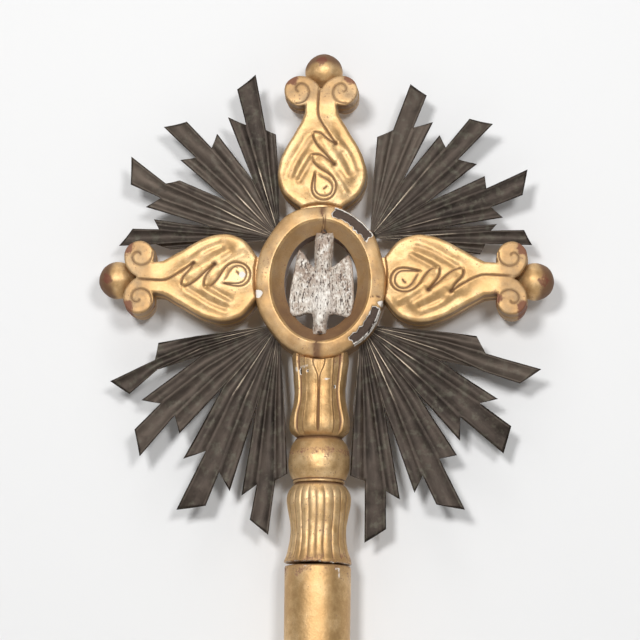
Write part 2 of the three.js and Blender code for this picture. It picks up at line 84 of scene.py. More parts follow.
def nearestOnLine(points, line, closed=False):
    # distance to a polyline, the nearest point on it, its side (+ left) and how far along it lies
    a = np.vstack([line, line[:1]]) if closed else line
    start, step = a[:-1], np.diff(a, axis=0)
    length = np.maximum((step ** 2).sum(1), 1e-12)
    best = np.full(len(points), 1e9)
    foot = np.zeros((len(points), 2))
    side = np.zeros(len(points))
    along = np.zeros(len(points))
    for i in range(len(start)):
        away = points - start[i]
        t = np.clip((away @ step[i]) / length[i], 0, 1)
        at = start[i] + t[:, None] * step[i]
        d = np.hypot(*(points - at).T)
        closer = d < best
        best[closer] = d[closer]
        foot[closer] = at[closer]
        cross = step[i, 0] * away[:, 1] - step[i, 1] * away[:, 0]
        side[closer] = np.sign(cross[closer])
        along[closer] = (i + t[closer]) / len(start)
    return best, foot, side, along


def insideOutline(points, outline):
    inside = np.zeros(len(points), bool)
    x, y = points.T
    for (x0, y0), (x1, y1) in zip(outline, np.roll(outline, -1, axis=0)):
        crosses = (y0 > y) != (y1 > y)
        with np.errstate(divide="ignore", invalid="ignore"):
            inside ^= crosses & (x < (x1 - x0) * (y - y0) / (y1 - y0) + x0)
    return inside


def unevenness(co, size, seed=0.0):
    # slow hand-made waviness, from -1 to 1
    offset = Vector((seed, seed * 1.7, -seed))
    return np.array([noise.noise(Vector(p) / size + offset) for p in co])


def readCo(mesh):
    co = np.empty(len(mesh.vertices) * 3)
    mesh.vertices.foreach_get("co", co)
    return co.reshape(-1, 3)


def writeCo(mesh, co):
    mesh.vertices.foreach_set("co", np.asarray(co, np.float32).ravel())
    mesh.update()


def vertexNormals(mesh):
    n = np.empty(len(mesh.vertices) * 3)
    mesh.vertex_normals.foreach_get("vector", n)
    return n.reshape(-1, 3)


def paint(mesh, name, values):
    layer = mesh.attributes.new(name, "FLOAT", "POINT")
    layer.data.foreach_set("value", np.asarray(values, np.float32))


def paintWearAndShade(mesh, glazeAndShade, rub, chip):
    # what the gilding shows: brown glaze in the hollows along with painted shade, red where rubbed or
    # painted as shade, white and bare wood where lost
    paint(mesh, "glazeAndShade", glazeAndShade)
    paint(mesh, "rub", rub)
    paint(mesh, "chip", chip)


def meshFrom(bm, name):
    mesh = bpy.data.meshes.new(name)
    bm.to_mesh(mesh)
    bm.free()
    return mesh


def remeshed(mesh, voxel, smoothing):
    # fine even quads over a closed shape, with the steps of the grid smoothed out
    maker = bpy.data.objects.new("remeshMaker", mesh)
    bpy.context.scene.collection.objects.link(maker)
    remesh = maker.modifiers.new("remesh", "REMESH")
    remesh.mode = "VOXEL"
    remesh.voxel_size = voxel
    relax = maker.modifiers.new("relax", "SMOOTH")
    relax.iterations = smoothing
    relax.factor = 0.5
    fine = bpy.data.meshes.new_from_object(maker.evaluated_get(bpy.context.evaluated_depsgraph_get()))
    bpy.data.objects.remove(maker)
    return fine


def finishPiece(mesh, name, body, material, replaces=(), toFrame=True):
    if toFrame:
        writeCo(mesh, readCo(mesh) * mm + np.array(ringCentre))
    mesh.shade_smooth()
    piece = bpy.data.objects.new(name, mesh)
    bpy.context.scene.collection.objects.link(piece)
    mesh.materials.clear()
    mesh.materials.append(material)
    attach(piece, body)
    if replaces:
        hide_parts(*replaces)
    return piece


class Sock:
    def __init__(self, tree, socket):
        self.tree = tree
        self.socket = socket

    def math(self, operation, *others):
        node = self.tree.nodes.new("ShaderNodeMath")
        node.operation = operation
        for slot, value in zip(node.inputs, (self, *others)):
            plug(self.tree, slot, value)
        return Sock(self.tree, node.outputs[0])

    def __add__(self, other):
        return self.math("ADD", other)

    def __radd__(self, other):
        return self.math("ADD", other)

    def __mul__(self, other):
        return self.math("MULTIPLY", other)

    def __rmul__(self, other):
        return self.math("MULTIPLY", other)

    def __sub__(self, other):
        return self.math("SUBTRACT", other)

    def __rsub__(self, other):
        return (self * -1).math("ADD", other)

    def between(self, low, high):
        # 0 below low, 1 above high, smooth between
        node = self.tree.nodes.new("ShaderNodeMapRange")
        node.interpolation_type = "SMOOTHSTEP"
        node.inputs["From Min"].default_value = low
        node.inputs["From Max"].default_value = high
        plug(self.tree, node.inputs["Value"], self)
        return Sock(self.tree, node.outputs[0])


def plug(tree, slot, value):
    if isinstance(value, Sock):
        tree.links.new(value.socket, slot)
    elif isinstance(value, (tuple, list)) and len(value) == 3 and slot.type == "RGBA":
        slot.default_value = (*value, 1)
    else:
        slot.default_value = value


class Finish:
    # one material and the nodes that feed its Principled shader
    def __init__(self, name, **fixed):
        self.material = bpy.data.materials.new(name)
        self.material.use_nodes = True
        self.tree = self.material.node_tree
        self.shader = self.tree.nodes["Principled BSDF"]
        for socketName, value in fixed.items():
            plug(self.tree, self.shader.inputs[socketName.replace("_", " ")], value)
        self.position = self.add("ShaderNodeTexCoord", {}, {}, "Object")

    def add(self, nodeType, settings, inputs, output=0):
        node = self.tree.nodes.new(nodeType)
        for key, value in settings.items():
            setattr(node, key, value)
        for key, value in inputs.items():
            plug(self.tree, node.inputs[key], value)
        return Sock(self.tree, node.outputs[output])

    def noise(self, size, detail=4, roughness=0.55, stretch=(1, 1, 1), distortion=0.0, vector=None):
        # size in mm
        scaled = self.add("ShaderNodeVectorMath", {"operation": "MULTIPLY"},
                          {0: vector or self.position, 1: tuple(1000 / size * s for s in stretch)})
        return self.add("ShaderNodeTexNoise", {}, {"Vector": scaled, "Scale": 1.0, "Detail": detail,
                                                   "Roughness": roughness, "Distortion": distortion})

    def attribute(self, name):
        return self.add("ShaderNodeAttribute", {"attribute_name": name}, {}, "Fac")

    def mix(self, factor, first, second):
        return self.add("ShaderNodeMix", {"data_type": "RGBA"}, {"Factor": factor, 6: first, 7: second}, 2)

    def set(self, **links):
        for key, value in links.items():
            plug(self.tree, self.shader.inputs[key.replace("_", " ")], value)

    def bump(self, height, depth):
        # depth in mm for a height of 1
        return self.add("ShaderNodeBump", {}, {"Height": height, "Strength": 1.0, "Distance": depth * mm})


gildingLook = {
    "gold": (0.70, 0.465, 0.225),
    "goldPale": (0.88, 0.67, 0.40),
    "goldDeep": (0.50, 0.30, 0.125),
    "bole": (0.16, 0.042, 0.024),
    "glazeAndShade": (0.125, 0.055, 0.024),
    "gesso": (0.78, 0.74, 0.68),
    "bareWood": (0.045, 0.028, 0.020),
}


def makeGilding():
    look = gildingLook
    f = Finish("gilding")
    broad = f.noise(38, 3, 0.6)
    cloud = f.noise(9, 5, 0.62)
    fine = f.noise(1.6, 4, 0.6)
    grain = f.noise(0.45, 3, 0.7)
    glazeAndShade = f.attribute("glazeAndShade")
    rub = f.attribute("rub")
    chip = f.attribute("chip")
    tone = broad * 0.45 + cloud * 0.37 + fine * 0.18
    colour = f.mix(tone.between(0.38, 0.62), look["goldDeep"], look["gold"])
    colour = f.mix(tone.between(0.47, 0.72) * 0.75, colour, look["goldPale"])
    # thin brown glaze where it is never rubbed, in grooves and in cloudy patches, and painted shade laid
    # into the same brown: the ring's cove and walls, the arms' side walls, the balls' outer ends, the knop's
    # top and the calyx's sides
    glazeShadeMix = (glazeAndShade + (cloud - 0.5) * 0.45 * glazeAndShade.between(0.05, 0.3)).between(0.18, 0.85)
    dusty = (fine * 0.5 + broad * 0.5).between(0.56, 0.68) * 0.35
    colour = f.mix(dusty, colour, look["goldDeep"])
    colour = f.mix(glazeShadeMix * 0.93, colour, look["glazeAndShade"])
    # red ground through the gold where hands and cloths have worn it, and red painted as shade under the
    # arms' scrolls
    wornAndShaded = (rub + (cloud - 0.5) * 0.9 + (fine - 0.5) * 0.7).between(0.34, 0.64)
    specks = fine.between(0.60, 0.69) * broad.between(0.44, 0.56)
    pin = grain.between(0.63, 0.71) * cloud.between(0.42, 0.58) * 0.7
    colour = f.mix(wornAndShaded * 0.80, colour, look["bole"])
    colour = f.mix(specks * 0.75, colour, look["bole"])
    colour = f.mix(pin, colour, look["glazeAndShade"])
    # losses: white gesso at the rim of a chip, bare wood inside it
    edge = (chip + (fine - 0.5) * 0.22).between(0.14, 0.26)
    wood = (chip + (cloud - 0.5) * 0.25).between(0.42, 0.54)
    grainLines = f.noise(2.2, 3, 0.6, (0.25, 1.6, 1.6))
    bare = f.mix(grainLines, look["bareWood"], (0.10, 0.066, 0.048))
    colour = f.mix(edge, colour, look["gesso"])
    colour = f.mix(wood, colour, bare)
    covered = (1 - edge) * (1 - wornAndShaded * 0.75) * (1 - specks * 0.8)
    f.set(Base_Color=colour, Metallic=covered * (1 - glazeShadeMix * 0.75) * 0.75,
          Roughness=0.50 + wornAndShaded * 0.16 + edge * 0.30 + glazeShadeMix * 0.18 + (cloud - 0.5) * 0.25
          + (fine - 0.5) * 0.16)
    height = cloud * 0.30 + fine * 0.12 + grain * 0.05 - specks * 0.05 - wornAndShaded * 0.04 - wood * 0.35
    f.set(Normal=f.bump(height, 1.1))
    return f.material


def makeSilvering():
    f = Finish("silvering")
    cloud = f.noise(7, 4, 0.6)
    feather = f.noise(1.5, 4, 0.65, (1.0, 1.0, 0.26), 0.6)
    grain = f.noise(0.9, 3, 0.6, (1.0, 1.0, 0.5))
    cut = f.attribute("glazeAndShade")
    pits = (feather * 0.6 + grain * 0.4).between(0.47, 0.38)
    colour = f.mix((cloud + (grain - 0.5) * 0.8).between(0.40, 0.60), (0.36, 0.27, 0.21), (0.56, 0.50, 0.43))
    colour = f.mix(f.noise(3.5, 3).between(0.52, 0.68) * 0.8, colour, (0.76, 0.72, 0.66))
    pale = f.attribute("rub")
    colour = f.mix(pale * 0.7, colour, (0.80, 0.76, 0.70))
    pitted = (pits * (1.15 - pale * 0.6) + cut * 0.6).between(0.25, 0.75) * 0.88
    colour = f.mix(pitted, colour, (0.075, 0.045, 0.036))
    f.set(Base_Color=colour, Metallic=0.28 * cloud.between(0.35, 0.65), Roughness=0.5 + (grain - 0.5) * 0.3)
    f.set(Normal=f.bump(feather * 0.6 + grain * 0.25 - pits * 0.4, 0.9))
    return f.material


def makeTin():
    f = Finish("tarnishedTin")
    along = f.attribute("sheetAlong")
    across = f.attribute("sheetAcross")
    flat = f.add("ShaderNodeCombineXYZ", {},
                 {0: across * 0.001, 1: along * 0.001, 2: f.attribute("sheetId") * 0.05})
    streak = f.noise(5.0, 5, 0.6, (1.0, 0.10, 1.0), vector=flat)
    fineStreak = f.noise(0.7, 3, 0.6, (1.0, 0.05, 1.0), vector=flat)
    cloud = f.noise(16, 5, 0.6)
    stain = f.noise(5, 4, 0.6)
    crease = f.attribute("crease")
    nearHub = f.attribute("nearHub")
    tone = streak * 0.38 + cloud * 0.52 + fineStreak * 0.10
    colour = f.mix(tone.between(0.36, 0.64), (0.018, 0.013, 0.010), (0.057, 0.043, 0.034))
    colour = f.mix(stain.between(0.50, 0.66) * 0.45, colour, (0.062, 0.056, 0.034))
    # each sheet painted a little lighter or darker, as painted light for sheets that lie at different tilts
    # to the lamps
    sheetLitTone = f.noise(20, 1, 0.5, (0.0, 0.0, 1.0), vector=flat).between(0.46, 0.62)
    colour = f.mix(sheetLitTone * 0.5, colour, (0.078, 0.060, 0.046))
    # painted highlight along the creases towards the hub, and lighter tarnish in random streaks
    patchy = f.noise(13, 2, 0.5, (1.0, 0.12, 1.0), vector=flat).between(0.38, 0.60)
    uneven = (streak - 0.5) * 1.5 + (cloud - 0.5) * 1.1
    creaseHighlightAndStreaks = (crease * nearHub * patchy * 0.9 + uneven).between(0.24, 0.85)
    colour = f.mix(creaseHighlightAndStreaks * 0.68, colour, (0.33, 0.27, 0.20))
    # painted shade in the hollows between the creases
    valleyShade = (1 - crease) * cloud.between(0.56, 0.72) * 0.5
    colour = f.mix(valleyShade, colour, (0.016, 0.011, 0.009))
    f.set(Base_Color=colour, Metallic=0.80 - stain.between(0.5, 0.7) * 0.30,
          Roughness=0.50 - creaseHighlightAndStreaks * 0.14 + (cloud - 0.5) * 0.28)
    f.set(Normal=f.bump(cloud * 0.5 + streak * 0.12 + fineStreak * 0.05, 0.8))
    return f.material


def makeBareWood():
    f = Finish("bareWood", Roughness=0.75)
    rings = f.noise(3.0, 4, 0.6, (1, 1, 0.06))
    fine = f.noise(0.6, 3, 0.6, (1, 1, 0.05))
    colour = f.mix(rings * 0.7 + fine * 0.3, (0.20, 0.11, 0.055), (0.42, 0.27, 0.15))
    f.set(Base_Color=colour, Normal=f.bump(rings * 0.5 + fine * 0.5, 0.3))
    return f.material


def makeIron():
    f = Finish("nailIron", Metallic=0.7)
    cloud = f.noise(1.2, 4, 0.6)
    colour = f.mix(cloud.between(0.4, 0.65), (0.035, 0.028, 0.024), (0.16, 0.085, 0.045))
    f.set(Base_Color=colour, Roughness=0.5 + cloud * 0.3, Normal=f.bump(cloud, 0.25))
    return f.material


def makeBrass():
    f = Finish("agedBrass", Metallic=0.95)
    cloud = f.noise(11, 5, 0.6)
    scratch = f.noise(1.5, 4, 0.7, (1, 1, 0.12))
    colour = f.mix((cloud * 0.7 + scratch * 0.3).between(0.38, 0.66), (0.16, 0.095, 0.035),
                   (0.52, 0.36, 0.13))
    f.set(Base_Color=colour, Roughness=0.30 + cloud * 0.35, Normal=f.bump(cloud * 0.5 + scratch * 0.2, 0.5))
    return f.material


gilding = makeGilding()
silvering = makeSilvering()
tarnishedTin = makeTin()
bareWood = makeBareWood()
nailIron = makeIron()
agedBrass = makeBrass()
print("finishes made")


def slabMesh(outline, thickness, voxel, smoothing=3):
    bm = bmesh.new()
    face = bm.faces.new([bm.verts.new((x, -thickness / 2, z)) for x, z in outline])
    grown = bmesh.ops.extrude_face_region(bm, geom=[face])["geom"]
    bmesh.ops.translate(bm, verts=[v for v in grown if isinstance(v, bmesh.types.BMVert)],
                        vec=(0, thickness, 0))
    bmesh.ops.recalc_face_normals(bm, faces=bm.faces)
    return remeshed(meshFrom(bm, "slab"), voxel, smoothing)


def roundEdges(co, outline, thickness, radius, arris=0.0):
    # rolls the edge between face and side to an arc, and leaves a thin proud line at mid depth
    flat = co[:, [0, 2]]
    d, foot, _, _ = nearestOnLine(flat, outline, closed=True)
    inside = insideOutline(flat, outline)
    d = np.where(inside, d, 0)
    inward = np.where((d > 0.05)[:, None], (flat - foot) / np.maximum(d, 1e-6)[:, None], 0)
    half = thickness / 2
    q0 = radius - d
    q1 = np.abs(co[:, 1]) - (half - radius)
    corner = (q0 > 0) & (q1 > 0)
    size = np.hypot(q0, q1)
    shrink = np.where(corner, radius / np.maximum(size, 1e-6), 1)
    side = (d < 0.6)[:, None]
    wall = nearestWall(flat, outline)
    inward = np.where(side, wall, inward)
    move = np.where(corner, q0 - q0 * shrink, 0)
    ridge = arris * bell(co[:, 1] / 0.9) * (d < 1.0)
    co[:, [0, 2]] += inward * (move - ridge)[:, None]
    co[:, 1] = np.where(corner, np.sign(co[:, 1]) * (half - radius + q1 * shrink), co[:, 1])
    return d


def nearestWall(flat, outline):
    # inward normal of the outline beside each point
    loop = np.vstack([outline, outline[:1]])
    step = np.diff(loop, axis=0)
    area = np.sum(loop[:-1, 0] * loop[1:, 1] - loop[1:, 0] * loop[:-1, 1])
    normal = np.column_stack([-step[:, 1], step[:, 0]]) * np.sign(area)
    normal /= np.maximum(np.hypot(*normal.T), 1e-9)[:, None]
    _, _, _, along = nearestOnLine(flat, outline, closed=True)
    index = np.minimum((along * len(normal)).astype(int), len(normal) - 1)
    return normal[index]


arm = {
    "drawnReach": 117.0,  # the reach that the tables below are drawn for
    "thickness": 33.0,
    "voxel": 0.62,
    "edgeRadius": 3.0,
    "scrollEdge": 1.7,
    "baseHalf": 16.0,
    "bulbHalf": 33.3,
    "neckHalf": 12.5,
    "scrollRadius": 11.4,
    "scrollSpread": 16.3,
    "ballRadius": 14.1,
    "reach": {"top": 119.5, "left": 119.0, "right": 125.5},
    "scrollBelowBall": 17.4,
    "sideRise": 2.6,
    "grooveWidth": 0.6,
}

# Carved lines on an arm that points up: across the arm, then out from the ring. Each has the side that
# stands proud of it (+1 left of its direction, -1 right), how proud, and its depth.
armCuts = [
    {"line": [(-1.2, 92), (-2.0, 81), (-2.3, 70), (-0.5, 64.5), (3, 58.5), (6.5, 53), (10.3, 48)],
     "proud": 1, "lift": 0.9, "depth": 1.3},
    {"line": [(-7.2, 56.3), (-4.2, 56.4), (-0.5, 55.2), (2.8, 52.4), (6, 50), (10.3, 47.6)],
     "proud": -1, "lift": 1.0, "depth": 1.2},
    {"line": [(-7.2, 56), (-6.8, 52), (-4.6, 48), (-1.5, 44), (2.4, 40), (6, 36), (9.4, 32.2)],
     "proud": 1, "lift": 0.9, "depth": 1.2},
    {"line": [(-8.2, 39.2), (-4, 39.6), (0.5, 38.4), (4.2, 36), (9.4, 31.8)],
     "proud": -1, "lift": 1.0, "depth": 1.2},
    {"line": [(-7.8, 38.6), (-7, 34.8), (-4.2, 31.4), (0, 28.2), (5, 25), (8.8, 21.4), (10.9, 16.5),
              (9.8, 10.6), (6.4, 6.8), (2, 5.4), (-2.6, 6.6), (-5.8, 9.4), (-7, 13), (-6.8, 17), (-5.5, 23),
              (-4.6, 26.5)],
     "proud": 1, "lift": 0.7, "depth": 1.1},
    {"line": [(-4.6, 26.5), (-0.6, 23.4), (4.2, 20.6), (7.6, 17), (8.2, 13), (6.4, 9.8), (2.8, 8.4),
              (-1.4, 9.2), (-4.3, 12), (-5, 16), (-4.9, 21), (-4.6, 26.2)],
     "proud": 1, "lift": 0.0, "depth": 0.7},
    {"line": [(1.2, 13.6), (3.0, 14.6), (4.2, 16.2)], "proud": 1, "lift": 0.0, "depth": 0.6},
]
# soft hollows between the long lobes, [line, width, depth]
armHollows = [
    ([(16, 40), (19.5, 33), (22, 27)], 2.6, 1.1),
    ([(13, 25), (17.5, 19), (21, 13)], 2.4, 0.8),
    ([(-9, 51), (-15, 42), (-20, 33), (-23.5, 24)], 2.6, 1.3),
    ([(-8, 36), (-12.5, 28), (-17, 20)], 2.4, 1.2),
    ([(14, 52), (22, 42), (27, 30)], 2.2, 0.6),
]
# soft ridges, the fat backs of the leaf lobes
armRidges = [
    ([(-3, 54), (3, 47), (11, 36), (20, 22)], 4.4, 1.8),
    ([(-4, 37), (3, 31.5), (12, 21), (18, 11)], 3.8, 1.7),
    ([(5, 62), (12, 50), (21, 37), (25, 26)], 3.4, 0.8),
    ([(-8, 60), (-14, 47), (-21, 36), (-26, 24)], 3.2, 0.9),
    ([(-7, 43), (-13, 34), (-18.5, 24)], 3.0, 0.9),
]


def besideRing(name, x, y, out):
    # turns an arm that points up to its own side of the ring
    if name == "top":
        return np.column_stack([x, y, out])
    if name == "right":
        return np.column_stack([out, y, arm["sideRise"] - x])
    return np.column_stack([-out, y, x + arm["sideRise"]])


def armOutline(reach):
    stretch = reach / arm["drawnReach"]
    scrollHeight = reach - arm["ballRadius"] - arm["scrollBelowBall"]
    bulb = arm["bulbHalf"]
    side = [(arm["baseHalf"], -1), (bulb * 0.73, 4.9 * stretch), (bulb * 0.91, 12 * stretch),
            (bulb, 24 * stretch), (bulb * 0.885, 39 * stretch), (bulb * 0.61, 55 * stretch),
            (arm["neckHalf"], 68.5 * stretch)]
    # the scroll's last turn opens out and runs down into the cleft
    unwind = smoothLine([(arm["scrollSpread"] - 3.2, scrollHeight + 11.2), (9.3, scrollHeight + 10.2),
                         (4.6, scrollHeight + 7.2), (1.5, scrollHeight + 4.0), (0.4, scrollHeight + 1.8)], 6)
    right = np.vstack([[(arm["baseHalf"] - 2, -8)], smoothLine(side, 8),
                       arc((arm["scrollSpread"], scrollHeight), arm["scrollRadius"], -115, 98, 22), unwind])
    left = right[::-1] * (-1, 1)
    return np.vstack([right, left]), scrollHeight


def scrollLine(side, scrollHeight):
    # spiral cut into a scroll, starting at the neck and winding in
    turns = np.radians(np.linspace(-75, -395, 40))
    radius = np.linspace(10.4, 1.4, 40)
    x = arm["scrollSpread"] + radius * np.cos(turns) * 0.95
    z = scrollHeight + radius * np.sin(turns)
    return np.column_stack([side * x, z])


def carveArm(name):
    reach = arm["reach"][name]
    stretch = reach / arm["drawnReach"]
    outline, scrollHeight = armOutline(reach)
    mesh = slabMesh(outline, arm["thickness"], arm["voxel"])
    co = readCo(mesh)
    outFromRing = co[:, 2].copy()
    nearScrolls = smoothStep(62, 76, outFromRing / stretch)
    radius = arm["edgeRadius"] + (arm["scrollEdge"] - arm["edgeRadius"]) * nearScrolls
    d = roundEdges(co, outline, arm["thickness"], radius, 0.7)
    writeCo(mesh, co)
    face = smoothStep(0.25, 0.8, np.abs(vertexNormals(mesh)[:, 1]))
    flat = np.column_stack([co[:, 0], co[:, 2] / stretch + 2.0])
    height = 1.6 * smoothStep(3, 17, d) * (1 - smoothStep(58, 72, flat[:, 1]))
    glazeAndShade = np.zeros(len(co))
    for cut in armCuts:
        line = smoothLine(cut["line"], 7)
        away, _, side, along = nearestOnLine(flat, line)
        fade = smoothStep(-0.02, 0.10, along) * smoothStep(1.02, 0.96, along)
        groove = bell(away / arm["grooveWidth"]) * np.maximum(fade, 0.35)
        proud = np.exp(-away / 4.0) * (1 - bell(away / 0.7)) * (side == cut["proud"])
        height += cut["lift"] * proud * fade - cut["depth"] * groove
        glazeAndShade = np.maximum(glazeAndShade, groove * 0.72 + 0.16 * bell(away / 1.7) * fade)
    for line, width, depth in armHollows:
        away, _, _, _ = nearestOnLine(flat, smoothLine(line, 8))
        dip = bell(away / width)
        height -= depth * dip
        glazeAndShade = np.maximum(glazeAndShade, 0.32 * dip)
    for line, width, depth in armRidges:
        away, _, _, along = nearestOnLine(flat, smoothLine(line, 8))
        height += depth * bell(away / width) * smoothStep(-0.05, 0.25, along)
    for x, z in ((10.3, 47.6), (9.4, 31.9)):
        away = np.hypot(flat[:, 0] - x, flat[:, 1] - z)
        height -= 1.3 * bell(away / 1.7)
        glazeAndShade = np.maximum(glazeAndShade, bell(away / 1.8))
    for side in (-1, 1):
        away, _, _, along = nearestOnLine(co[:, [0, 2]], scrollLine(side, scrollHeight))
        height -= 0.8 * bell(away / 0.65)
        glazeAndShade = np.maximum(glazeAndShade, 0.75 * bell(away / 0.75))
    glazeAndShade = np.maximum(glazeAndShade, 0.47 * smoothStep(scrollHeight - 18, scrollHeight - 4, outFromRing))
    wave = unevenness(co, 14, 3.1) * 0.45 + unevenness(co, 5, 8.0) * 0.16
    co[:, 1] += np.sign(co[:, 1]) * (height + wave) * face
    wallWave = unevenness(co, 9, 5.5) * 0.35 * (1 - face)
    co += vertexNormals(mesh) * wallWave[:, None]
    # painted shade down the side walls of the rolled edge, with the arris at mid depth left bright; red
    # where the scroll tops are rubbed, and red painted as shade under the scrolls at the sides
    sideWallShade = smoothStep(15.5, 12.5, np.abs(co[:, 1])) * smoothStep(0.6, 2.2, np.abs(co[:, 1])) * 0.56
    glazeAndShade = np.maximum(glazeAndShade, sideWallShade * smoothStep(2.2, 0.5, d))
    top = smoothStep(scrollHeight, scrollHeight + 8, outFromRing) * smoothStep(13, 22, np.abs(co[:, 0]))
    rub = 0.85 * top
    # painted shade in red bole under the scrolls at the sides
    shaded = smoothStep(-2, -9, outFromRing - scrollHeight) * smoothStep(12, 20, np.abs(co[:, 0]))
    rub = np.maximum(rub, 0.35 * shaded * smoothStep(60, 66, outFromRing / stretch))
    if name == "right":
        patch = np.hypot(co[:, 0] - 15, outFromRing - (scrollHeight - 11))
        rub = np.maximum(rub, 0.75 * bell(patch / 6))
    chip = np.zeros(len(co))
    if name == "left":
        chip = 0.42 * np.exp(-(np.hypot(flat[:, 0] - 1.5, flat[:, 1] - 11.5) / 2.6) ** 4)
    # turned to its side of the ring, and cut back where the ring lies over it
    x, y, z = co.T.copy()
    if name == "top":
        x -= 1.3 * smoothStep(55, 80, z)
    ovalAcross, ovalAlong = ringHalfHeight, ringHalfWidth
    if name == "top":
        ovalAcross, ovalAlong = ringHalfWidth, ringHalfHeight
    out = z + ovalAlong
    underRing = smoothStep(1.035, 1.015, np.hypot(x / ovalAcross, out / ovalAlong))
    y = y * (1 - underRing) + np.clip(y, -hiddenDepth, hiddenDepth) * underRing
    writeCo(mesh, besideRing(name, x, y, out))
    paintWearAndShade(mesh, glazeAndShade, rub, chip)
    return finishPiece(mesh, f"carvedArm_{name}", "head", gilding, [f"arm_{name}"])


for side in ("top", "left", "right"):
    carveArm(side)
print("arms carved")


def spunMesh(profile, steps, axis="Z", name="spun"):
    # profile of (radius, height) pairs, spun all the way round; ends on the axis close to a pole
    bm = bmesh.new()
    lift = (lambda r, h: (r, 0, h)) if axis == "Z" else (lambda r, h: (r, h, 0))
    verts = [bm.verts.new(lift(r, h)) for r, h in profile]
    edges = [bm.edges.new(pair) for pair in zip(verts[:-1], verts[1:])]
    around = (0, 0, 1) if axis == "Z" else (0, 1, 0)
    bmesh.ops.spin(bm, geom=verts + edges, cent=(0, 0, 0), axis=around, angle=2 * math.pi, steps=steps,
                   use_merge=True)
    bmesh.ops.remove_doubles(bm, verts=bm.verts, dist=1e-4)
    bmesh.ops.recalc_face_normals(bm, faces=bm.faces)
    return meshFrom(bm, name)


ring = {
    "openingHalfWidth": 27.4, "openingHalfHeight": 36.4, "wall": 21.4, "thickness": 38.0,
    "coveWidth": 10.0, "coveDepth": 9.0, "steps": 330,
    # losses along the outer edge: from and to in degrees, middle and half width out from the opening
    "losses": [(37, 77, 17.4, 3.4), (-57, -22, 18.3, 3.1)],
}


